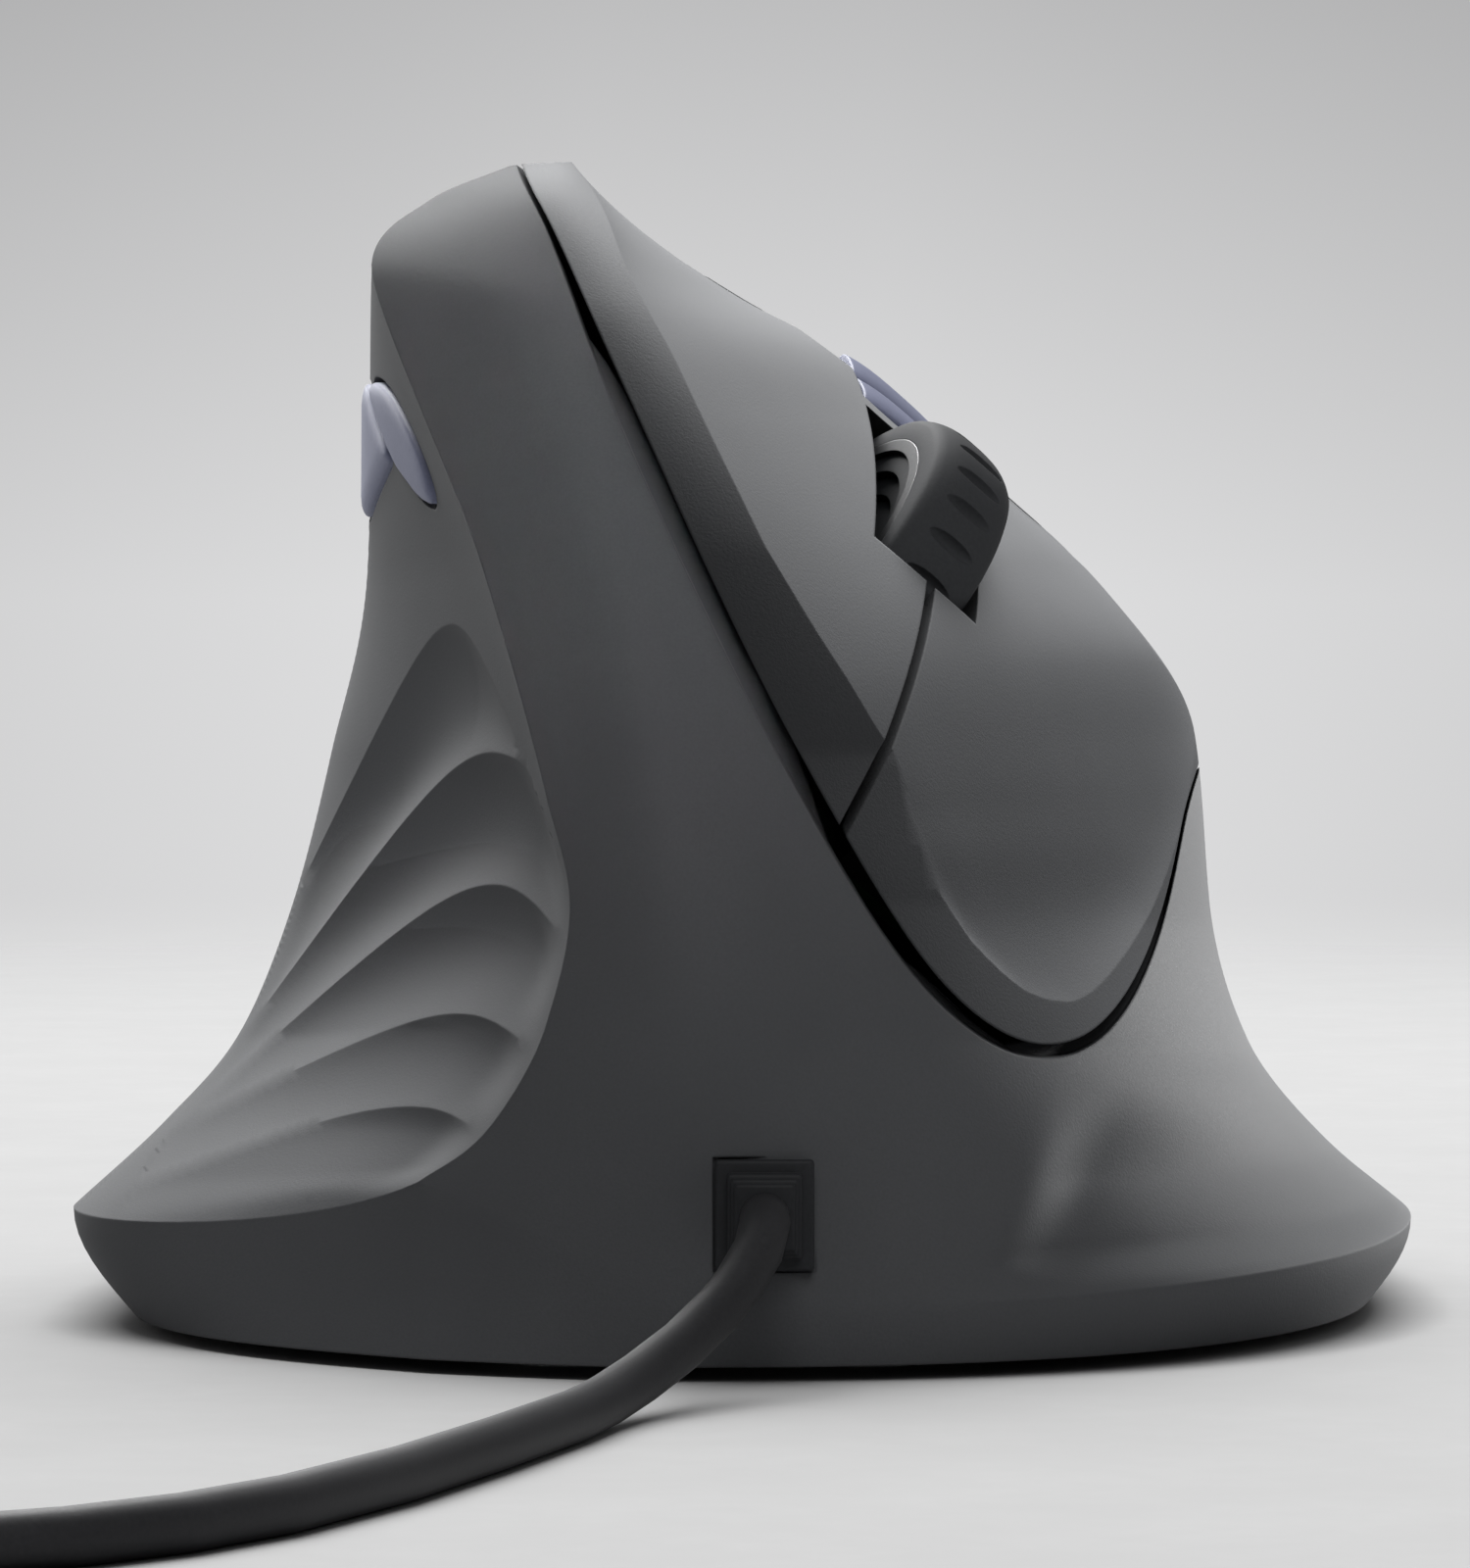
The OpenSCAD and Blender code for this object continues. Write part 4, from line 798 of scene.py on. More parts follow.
def chaikin(ring: Sequence[Point], rounds: int) -> Array:
    """Round a closed outline by cutting its corners.

    Args:
        ring: Outline points.
        rounds: How many times each corner is cut.

    Returns:
        The rounder outline.
    """
    p = np.array(ring, float)
    for _ in range(rounds):
        q = np.roll(p, -1, axis=0)
        p = np.stack([0.75 * p + 0.25 * q, 0.25 * p + 0.75 * q], axis=1).reshape(-1, 2)
    return p


def grown(ring: Array, by: float) -> Array:
    """Move a closed outline outwards.

    Args:
        ring: Outline points.
        by: Distance, less than zero for inwards.

    Returns:
        The moved outline.
    """
    step = np.roll(ring, -1, axis=0) - np.roll(ring, 1, axis=0)
    area = np.sum(ring[:, 0] * np.roll(ring[:, 1], -1) - np.roll(ring[:, 0], -1) * ring[:, 1])
    normal = np.column_stack([step[:, 1], -step[:, 0]]) * (1 if area > 0 else -1)
    return ring + by * normal / np.linalg.norm(normal, axis=1)[:, None]


def distance(points: Array, ring: Array) -> Array:
    """Distance from points to an outline.

    Args:
        points: Places to measure from.
        ring: Closed outline.

    Returns:
        Least distance of each place.
    """
    a, b = ring, np.roll(ring, -1, axis=0)
    v = b - a
    w = points[:, None] - a[None]
    share = np.clip((w * v).sum(2) / (v * v).sum(1), 0, 1)
    return np.linalg.norm(w - share[..., None] * v, axis=2).min(1)


def inside(points: Array, ring: Array) -> Array:
    """Tell which points lie inside an outline.

    Args:
        points: Places to test.
        ring: Closed outline.

    Returns:
        True for each place inside.
    """
    a, b = ring, np.roll(ring, -1, axis=0)
    x, y = points[:, :1], points[:, 1:]
    over = (a[:, 1] > y) != (b[:, 1] > y)
    rise = np.where(b[:, 1] == a[:, 1], 1e-9, b[:, 1] - a[:, 1])
    left = x < (b[:, 0] - a[:, 0]) * (y - a[:, 1]) / rise + a[:, 0]
    return (over & left).sum(1) % 2 == 1


@dataclass
class Flutes:
    """Thumb flank laid out along its ridges, so that every ridge is a crisp edge."""

    form: BodyForm
    levels: Sequence[float]
    points: Array
    n: int
    first: int
    low: int
    high: int
    clear: float = 0.3
    margin: float = 0.3
    shortest: int = 6

    def border(self) -> list[int]:
        """Point numbers round the flank, counterclockwise from the front."""
        cols = list(range(self.first, self.n)) + [0]
        foot = [self.low * self.n + c for c in cols]
        crease = [j * self.n for j in range(self.low + 1, self.high)]
        top = [self.high * self.n + c for c in reversed(cols)]
        back = [j * self.n + self.first for j in range(self.high - 1, self.low, -1)]
        return foot + crease + top + back

    def lines(self, ring: Array) -> list[Array]:
        """Ridge lines in x and z.

        Args:
            ring: Border of the flank in x and z.

        Returns:
            Open lines.
        """
        x = np.arange(-38.0, -9.0, 0.25)
        h = self.form.ridge_heights(x)
        found = []
        for k in range(len(h)):
            above = h[k - 1] - h[k] if k else np.full_like(x, 9.0)
            below = h[k] - h[k + 1] if k + 1 < len(h) else np.full_like(x, 9.0)
            line = np.column_stack([x, h[k]])
            clear = inside(line, ring) & (distance(line, ring) > self.margin)
            good = np.flatnonzero(clear & (np.minimum(above, below) > self.form.least_span))
            run = max(np.split(good, np.flatnonzero(np.diff(good) > 1) + 1), key=len)
            if len(run) >= self.shortest:
                found.append(line[run])
        return found

    def build(self) -> tuple[Array, list[tuple[int, ...]]]:
        """Lay the flank out again.

        Returns:
            New points, numbered after the given ones, and faces over both.
        """
        n, rows = self.n, self.high - self.low + 1
        border = self.border()
        ring = self.points[border][:, [0, 2]]
        lines = self.lines(ring)
        cols = list(range(self.first, n)) + [0]
        grid = np.array([[j * n + c for c in cols] for j in range(self.low, self.high + 1)])
        share = np.tile(np.linspace(0, 1, len(cols)), (rows, 1))
        station = np.tile(np.array(self.levels[self.low:self.high + 1])[:, None], (1, len(cols)))
        flat = self.points[grid.ravel()]
        quads = [(j * len(cols) + i, j * len(cols) + i + 1, (j + 1) * len(cols) + i + 1, (j + 1) * len(cols) + i)
                 for j in range(rows - 1) for i in range(len(cols) - 1)]
        triangles = [t for a, b, c, d in quads for t in ((a, b, c), (a, c, d))]
        tree = BVHTree.FromPolygons([Vector(p) for p in flat], triangles)
        inner = self.points[grid[1:-1, 1:-1].ravel()][:, [0, 2]]
        runs = np.vstack(lines)
        gap = np.array([np.min(np.hypot(*(runs - p).T)) for p in inner])
        spots = [ring, *lines, inner[gap > self.clear]]
        edges, at = [], len(ring)
        for line in lines:
            edges += [(at + i, at + i + 1) for i in range(len(line) - 1)]
            at += len(line)
        found, _, faces, origin, *_ = delaunay_2d_cdt([Vector(p) for p in np.vstack(spots)], edges,
                                                      [list(range(len(ring)))], 1, 1e-6)
        kind = np.repeat(np.arange(len(spots)), [len(q) for q in spots])
        new, number = [], {}
        for i, spot in enumerate(found):
            source = origin[i][0]
            if source < len(ring):
                number[i] = border[source]
                continue
            hit, _, face, _ = tree.ray_cast(Vector((spot.x, -120, spot.y)), Vector((0, 1, 0)))
            corners = triangles[face]
            weight = poly_3d_calc([Vector(flat[c]) for c in corners], hit)
            u = sum(w * share.ravel()[c] for w, c in zip(weight, corners))
            t = sum(w * station.ravel()[c] for w, c in zip(weight, corners))
            place = (np.array([v]) for v in (spot.x, spot.y, u))
            depth = 0.0 if kind[source] <= len(lines) else float(self.form.flute(*place)[0])
            chord = self.form.along(self.form.crease, t) - self.form.along(self.form.flank, t)
            depth *= float(smooth((t - 1) / 0.5)) / math.hypot(chord[0], chord[1])
            number[i] = len(self.points) + len(new)
            new.append((hit.x - chord[1] * depth, hit.y + chord[0] * depth, hit.z))
        return np.array(new), [tuple(number[i] for i in f) for f in faces]


@dataclass
class Housing:
    """Main shell and palm cover."""

    form: BodyForm
    deck: DeckAxes
    finishes: Finishes
    shell_wall: float = 2.6
    foot_h: float = 0.8
    base_t: float = 2.0
    base_rim: float = 1.4
    seam: float = 0.25
    key_end: float = 8.0
    palm_len: float = 22.0
    palm_lean: float = 41.3
    palm_top: tuple[float, float] = (-14.5, 71.5)
    gland_x: float = 0.7
    gland_z: float = 9.6
    gland_wall: float = -57.0
    gland_size: tuple[float, float] = (5.7, 6.4)
    gland_hole: tuple[float, float] = (2.4, 2.7)
    far: float = 70.0
    button_gap: float = 0.35
    flute_top: float = 6.3
    counts: tuple[int, ...] = (18, 64, 36, 32, 84)
    inner_counts: tuple[int, ...] = (4, 8, 6, 6, 8)

    def levels(self) -> list[float]:
        """Stations of the fine sections."""
        return ([i / 8 for i in range(8)] + [1 + i * 0.05 for i in range(100)]
                + [6 + i / 15 for i in range(46)])

    def skin(self, name: str) -> Obj:
        """Fine closed form of the whole body, with its flutes.

        Args:
            name: Name of the object.

        Returns:
            The closed object.
        """
        levels = self.levels()
        rings = [self.form.section(t, self.counts) for t in levels]
        n, first = len(rings[0]), sum(self.counts[:4])
        low, high = levels.index(1.0), max(i for i, t in enumerate(levels) if t < self.flute_top)
        body = loft(name, rings)
        mesh = body.data
        points = np.array([v.co for v in mesh.vertices])
        faces = [tuple(f.vertices) for f in mesh.polygons]
        faces = [f for f in faces if not all(low <= i // n <= high and (i % n >= first or i % n == 0) for i in f)]
        patch, triangles = Flutes(self.form, levels, points, n, first, low, high).build()
        bpy.data.objects.remove(body)
        body = mesh_object(name, np.vstack([points, patch]), faces + triangles)
        with editing(body):
            bpy.ops.mesh.delete_loose(use_verts=True, use_edges=False, use_faces=False)
        return body

    def cavity(self) -> Obj:
        """Hollow of the body."""
        rings = [self.form.drawn_in(0, self.inner_counts, self.shell_wall + self.base_rim),
                 self.form.drawn_in(0.6, self.inner_counts, self.shell_wall + 0.6)]
        rings[0][:, 2] = self.foot_h + self.base_t + self.seam / 2
        rings[1][:, 2] = self.foot_h + self.base_t + 0.9
        stations = (1, 1.6, 2.2, 3, 3.8, 4.6, 5.4, 6.2, 6.8, 7.3)
        rings += [self.form.drawn_in(t, self.inner_counts, self.shell_wall) for t in stations]
        return loft("cavity", rings)

    def palm_space(self, gap: float) -> Obj:
        """Space above the palm seam behind the keys."""
        at = (Matrix.Translation((self.palm_top[0], self.key_end + gap, self.palm_top[1]))
              @ turned(self.palm_lean, "Y"))
        return box("palm_space", (-10, 0, gap), (80, self.palm_len - 2 * gap, 40), at)

    def grid(self, end: float) -> tuple[Array, Array]:
        """Grid lines of the finger face, up to an end behind."""
        return np.linspace(-62, end, 120), np.linspace(15.5, 76, 130)

    def opening(self, edge: Sequence[Point]) -> Obj:
        """Straight prism over one of the key outlines.

        Args:
            edge: Outline of the keys or of the opening round them.

        Returns:
            The prism, turned a little from the body's length.
        """
        ring = chaikin([(-24, 88), *edge, (64, edge[-1][1] + 2), (64, 88)], 2)
        tool = prism("edge", ring, 1, -100, 30)
        tool.data.transform(turned(self.form.edge_turn, "Z"))
        return tool

    def build(self, windows: Sequence[Obj]) -> None:
        """Model the shell and the palm cover.

        Args:
            windows: Prisms of the thumb button windows.
        """
        base_top = self.foot_h + self.base_t
        shell = meet(self.skin("body_shell"), self.cavity(), Cut.AWAY)
        recess = self.form.drawn_in(0, (6, 12, 10, 10, 10), self.base_rim - 0.15)[:, :2]
        meet(shell, prism("recess", recess, 2, -1, base_top + self.seam / 2), Cut.AWAY)
        ys, zs = self.grid(self.key_end + 0.2)
        bed = slab("sill", self.form.sill_x, lambda y, z: np.full_like(y, self.far), ys, zs)
        meet(shell, meet(bed, self.opening(self.form.sill_edge), Cut.SHARED), Cut.AWAY)
        meet(shell, self.palm_space(0), Cut.AWAY)
        x, y, z = self.gland_x, self.gland_wall, self.gland_z
        seat = [size / 2 + self.seam / 2 for size in self.gland_size]
        for (w, h), end in ((self.gland_hole, y + 5), (seat, y)):
            meet(shell, box("gland_room", (x - w, y - 3, z - h), (x + w, end, z + h)), Cut.AWAY)
        for window in windows:
            meet(shell, window, Cut.AWAY)
        settle(shell, self.finishes.shell, "housing", ["main_shell"])
        palm = meet(self.skin("palm_rest"), self.cavity(), Cut.AWAY)
        meet(palm, self.palm_space(self.seam), Cut.SHARED)
        ys = np.linspace(self.key_end - 1, self.key_end + 29, 40)
        meet(palm, slab("limit", lambda y, z: np.full_like(y, -self.far), self.form.face_x, ys, zs), Cut.SHARED)
        settle(palm, self.finishes.shell, "housing", ["palm_cover"])


@dataclass
class Keys:
    """The two long finger keys."""

    housing: Housing
    split: float = 0.7
    slot: tuple[float, float] = (7.6, 20.8)
    slot_left: float = 0.9
    wheel_room: float = 12.6
    wheel_w: float = -7.5
    speed_window: tuple[float, float, float] = (9.5, 12.45, 23.95)
    rod_v: float = 29.0
    rod_w: float = -12.0
    knuckle: float = 5.5
    post_v: float = -12.0
    post_w: float = -8.0
    post_r: float = 1.5
    post_h: float = 6.2
    arm_half: float = 2.0
    arm_h: float = 5.6
    switch_u: float = 9.0
    upper_arms: tuple[float, float] = (-9.0, -3.6)
    lower_arms: tuple[float, float] = (3.6, 14.0)

    def roots(self, arms: Sequence[float], post_u: float) -> Obj:
        """Arms and switch post under a key, cut off inside its skin.

        Args:
            arms: Places of the arms along the axle.
            post_u: Place of the post along the axle.

        Returns:
            The arms and the post as one object.
        """
        deck = self.housing.deck.matrix()
        low = self.rod_w + self.knuckle / 2 + 0.2
        parts = [box("arm", (u - self.arm_half, self.rod_v - 3, low),
                     (u + self.arm_half, self.rod_v + 1, low + self.arm_h), deck) for u in arms]
        at = deck @ Matrix.Translation((post_u, self.post_v, 0))
        parts.append(rod("post", self.post_r, self.post_w, self.post_w + self.post_h, at, 32))
        ys, zs = self.housing.grid(self.housing.key_end)
        form = self.housing.form
        limit = slab("limit", lambda y, z: np.full_like(y, -self.housing.far),
                     lambda y, z: form.face_x(y, z) - 1, ys[::4], zs[::4])
        return meet(join("roots", parts), limit, Cut.SHARED)

    def build(self) -> None:
        """Model both keys."""
        house, form = self.housing, self.housing.form
        deck = house.deck.matrix()
        ys, zs = house.grid(house.key_end - house.seam)
        wide, long = self.slot[0] / 2, self.slot[1] / 2
        far = 80.0
        for name, arms, side in (("upper_key", self.upper_arms, -1), ("lower_key", self.lower_arms, 1)):
            key = meet(house.skin(name + "_cap"), slab("deck", form.under_x, form.face_x, ys, zs), Cut.SHARED)
            meet(key, house.opening(form.key_edge), Cut.SHARED)
            meet(key, self.roots(arms, side * self.switch_u), Cut.ADDED)
            edge = self.split / 2
            low, high = (-far, edge) if side > 0 else (-edge, far)
            meet(key, box("other_side", (low, -far, -60), (high, far, 60), deck), Cut.AWAY)
            meet(key, box("wheel_slot", (-wide - self.slot_left, -long, -30), (wide, long, 30), deck), Cut.AWAY)
            at = deck @ Matrix.Translation((0, 0, self.wheel_w)) @ turned(90, "Y")
            meet(key, rod("wheel_room", self.wheel_room, -wide - self.slot_left, wide, at, 96), Cut.AWAY)
            half, front, back = self.speed_window[0] / 2, self.speed_window[1], self.speed_window[2]
            meet(key, box("speed_window", (-half, front, -30), (half, back, 30), deck), Cut.AWAY)
            settle(key, house.finishes.shell, name + "_lever", [name])


@dataclass
class ThumbButtons:
    """Forward and back buttons set in the thumb flank."""

    housing: Housing
    forward: Sequence[Point] = ((-29, 50.6), (-28, 53.2), (-24, 56.2), (-18, 58.4), (-9.4, 58.8), (-13, 56.6),
        (-18.6, 53.2), (-21, 52.4), (-25, 51))
    back: Sequence[Point] = ((-3.5, 50), (-9.5, 51.7), (-14, 53), (-17.3, 53.9), (-12, 56.6), (-8, 58.9),
        (1, 58.6), (7, 57.2), (9.6, 54.6), (6.4, 52), (1.5, 50.7))
    proud: float = 0.55
    rim: float = 0.1
    round_over: float = 1.4
    deep: float = 2.6
    stem_r: float = 1.5
    stem_end: float = -18.0
    insets: tuple[float, ...] = (0.1, 0.25, 0.45, 0.7)
    step: float = 0.45
    stems: tuple[tuple[float, float], ...] = ((-20, 55), (1, 54.6))

    def outline(self, shape: Sequence[Point]) -> Array:
        """Rounded outline in y and z, evenly stepped."""
        ring = chaikin(shape, 3)
        closed = np.vstack([ring, ring[:1]])
        run = np.append(0, np.cumsum(np.linalg.norm(np.diff(closed, axis=0), axis=1)))
        at = np.linspace(0, run[-1], int(run[-1] / 0.25), endpoint=False)
        return np.column_stack([np.interp(at, run, closed[:, i]) for i in (0, 1)])

    def windows(self) -> list[Obj]:
        """Prisms that cut both windows."""
        gap = self.housing.button_gap
        return [prism("window", grown(self.outline(s), gap), 0, -40, -8) for s in (self.forward, self.back)]

    @staticmethod
    def kept(points: Array, ring: Array, least: float) -> Array:
        """Points inside an outline and at least so far from it."""
        return points[inside(points, ring) & (distance(points, ring) >= least)]

    def build(self) -> None:
        """Model both buttons as plates that follow the flank."""
        skin = self.housing.skin("flank_guide")
        tree = BVHTree.FromPolygons([v.co for v in skin.data.vertices], [p.vertices for p in skin.data.polygons])
        bpy.data.objects.remove(skin)
        for name, shape, stem in zip(("forward", "back"), (self.forward, self.back), self.stems):
            ring = self.outline(shape)
            n = len(ring)
            spots = [ring]
            for inset in self.insets:
                spots.append(self.kept(grown(ring, -inset), ring, 0.9 * inset))
            low, high = ring.min(0), ring.max(0)
            gy, gz = np.meshgrid(*(np.arange(low[i], high[i], self.step) for i in (0, 1)))
            spots.append(self.kept(np.column_stack([gy.ravel(), gz.ravel()]), ring, 0.95))
            flat = [Vector(p) for p in np.vstack(spots)]
            found, _, triangles, *_ = delaunay_2d_cdt(flat, [], [list(range(n))], 1, 1e-5)
            plan = np.array([tuple(p) for p in found])
            depth = distance(plan, ring)
            skin_x = np.array([tree.ray_cast(Vector((-80, y, z)), Vector((1, 0, 0)))[0].x for y, z in plan])
            bow = np.sqrt(1 - (1 - np.clip(depth / self.round_over, 0, 1)) ** 2)
            out = skin_x - self.rim - (self.proud - self.rim) * bow
            points = np.vstack([np.column_stack([out, plan]), np.column_stack([skin_x + self.deep, plan])])
            m = len(plan)
            faces = [tuple(t) for t in triangles] + [tuple(m + i for i in reversed(t)) for t in triangles]
            edges = dict.fromkeys((a, b) for t in triangles for a, b in zip(t, t[1:] + t[:1]))
            faces += [(b, a, m + a, m + b) for a, b in edges if (b, a) not in edges]
            plate = mesh_object(name + "_cap", points, faces)
            outwards(plate)
            at = Matrix.Translation((0, *stem)) @ turned(90, "Y")
            order = np.argsort(plan[:, 0])
            inner = float(np.interp(stem[0], plan[order, 0], skin_x[order]))
            meet(plate, rod("stem", self.stem_r, inner + 1.2, self.stem_end, at, 32), Cut.ADDED)
            settle(plate, self.housing.finishes.button, name, [name + "_button"], angle=50)


@dataclass
class ScrollWheel:
    """Rubber tyre on a stepped hub."""

    deck: DeckAxes
    finishes: Finishes
    radius: float = 12.0
    width: float = 6.4
    tyre_t: float = 2.4
    centre_w: float = -7.5
    axle_r: float = 1.2
    axle_half: float = 5.7
    collar_r: float = 2.4
    collar_half: float = 3.95
    grooves: int = 26
    lens: tuple[float, float, float] = (0.7, 0.55, 1.95)
    lens_out: float = 0.12
    steps: int = 144

    def spun(self, name: str, profile: Sequence[tuple[float, float]]) -> Obj:
        """Turn a closed profile about the axle.

        Args:
            name: Name of the object.
            profile: Radius and place along the axle of each corner.

        Returns:
            The turned body in the deck's axes.
        """
        n = len(profile)
        mesh = bpy.data.meshes.new(name)
        mesh.from_pydata([(0, r, x) for r, x in profile], [(i, (i + 1) % n) for i in range(n)], [])
        obj = linked(name, mesh)
        with editing(obj):
            bpy.ops.mesh.spin(steps=self.steps, angle=2 * math.pi, center=(0, 0, 0), axis=(0, 0, 1))
            bpy.ops.mesh.select_all(action="SELECT")
            bpy.ops.mesh.remove_doubles(threshold=1e-4)
            bpy.ops.mesh.normals_make_consistent(inside=False)
        return obj

    def build(self) -> None:
        """Model the tyre with its lens-shaped grooves, and the hub with its ring steps."""
        half, inner = self.width / 2, self.radius - self.tyre_t
        across = np.linspace(-half + 0.25, half - 0.25, 15)
        crown = [(self.radius - 0.9 * (abs(x) / half) ** 3, x) for x in across]
        shoulder = self.radius - 1.15
        tyre = self.spun("tyre", [(inner, -half), (shoulder, -half), *crown, (shoulder, half), (inner, half)])
        cutters = []
        for i in range(self.grooves):
            clear_selection()
            bpy.ops.mesh.primitive_uv_sphere_add(segments=24, ring_count=14, radius=1)
            lens = bpy.context.object
            place = Matrix.Rotation(2 * math.pi * i / self.grooves, 4, "Z")
            place = place @ Matrix.Translation((self.radius + self.lens_out, 0, 0))
            lens.data.transform(place @ Matrix.Diagonal((*self.lens, 1)))
            cutters.append(lens)
        meet(tyre, join("grooves", cutters), Cut.AWAY)
        at = (self.deck.matrix() @ Matrix.Translation((0, 0, self.centre_w)) @ turned(90, "Y"))
        tyre.data.transform(at)
        settle(tyre, self.finishes.tyre, "scroll_wheel", ["wheel_tyre"], angle=40)
        collar, axle, end = self.collar_r, self.axle_r, self.axle_half
        steps = [(inner, half), (inner - 0.9, half), (inner - 1.0, half - 0.35), (inner - 2.2, half - 0.45),
                 (inner - 2.3, half - 0.95), (inner - 3.6, half - 1.05), (inner - 3.7, half - 1.5),
                 (collar + 1.4, half - 1.5), (collar + 1.2, half - 0.5), (collar, half - 0.4),
                 (collar, self.collar_half), (axle, self.collar_half), (axle, end - 0.2),
                 (axle - 0.2, end), (0, end)]
        hub = self.spun("hub", steps + [(r, -x) for r, x in reversed(steps)])
        hub.data.transform(at)
        settle(hub, self.finishes.hub, "scroll_wheel", ["wheel_hub"], angle=40)


@dataclass
class SpeedButtons:
    """Two pale buttons behind the wheel."""

    deck: DeckAxes
    finishes: Finishes
    length: float = 8.8
    width: float = 5.2
    proud: float = 0.4
    deep: float = 1.6
    tilt: float = -9.0
    crown: tuple[float, float] = (0.35, 0.3)
    places: tuple[tuple[float, float], ...] = ((15.4, -1.3), (21.2, -2.25))
    stem_r: float = 1.3
    stem_low: float = -12.5

    def build(self) -> None:
        """Model both buttons as crowned pads with a stem."""
        for name, (v, w) in zip(("dpi_up", "dpi_down"), self.places):
            half, side = self.length / 2, self.width / 2
            pad = box(name + "_cap", (-half, -side, -self.deep), (half, side, self.proud))
            with editing(pad):
                bpy.ops.mesh.subdivide(number_cuts=9)
            for corner in pad.data.vertices:
                x, y, z = corner.co
                if z > -self.deep + 0.01:
                    drop = self.crown[0] * (abs(x) / half) ** 3 + self.crown[1] * (abs(y) / side) ** 3
                    corner.co.z = z - drop * (z + self.deep) / (self.proud + self.deep)
            rounded(pad, 0.45, 4, 50)
            at = self.deck.matrix() @ Matrix.Translation((0, v, w)) @ turned(self.tilt, "X")
            pad.data.transform(at)
            stem_at = self.deck.matrix() @ Matrix.Translation((0, v, 0))
            meet(pad, rod("stem", self.stem_r, self.stem_low, w - 0.9, stem_at, 32), Cut.ADDED)
            settle(pad, self.finishes.button, name, [name + "_button"], angle=45)


@dataclass
class Gland:
    """Stepped cord gland in the nose."""

    housing: Housing
    front: float = -59.5
    frames: Sequence[tuple[float, float, float, float]] = ((3.6, 3.6, 3.7, 5.1), (2.15, 2.45, -0.6, 3.8),
        (2.85, 3.2, -0.9, -0.1), (2.15, 2.45, -1.6, -0.5), (1.95, 2.2, -2.1, -1.4))

    def build(self) -> None:
        """Model the gland as stacked frames with eased edges."""
        house = self.housing
        x, y, z = house.gland_x, house.gland_wall, house.gland_z
        parts = [(w, h, y + a, y + b) for w, h, a, b in self.frames] + [(1.75, 1.95, self.front, self.front + 1)]
        body: Optional[Obj] = None
        for w, h, low, high in parts:
            block = rounded(box("frame", (x - w, low, z - h), (x + w, high, z + h)), 0.22, 3)
            body = block if body is None else meet(body, block, Cut.ADDED)
        body.name = "cord_gland"
        settle(body, house.finishes.gland, "housing", ["strain_relief"], angle=35)


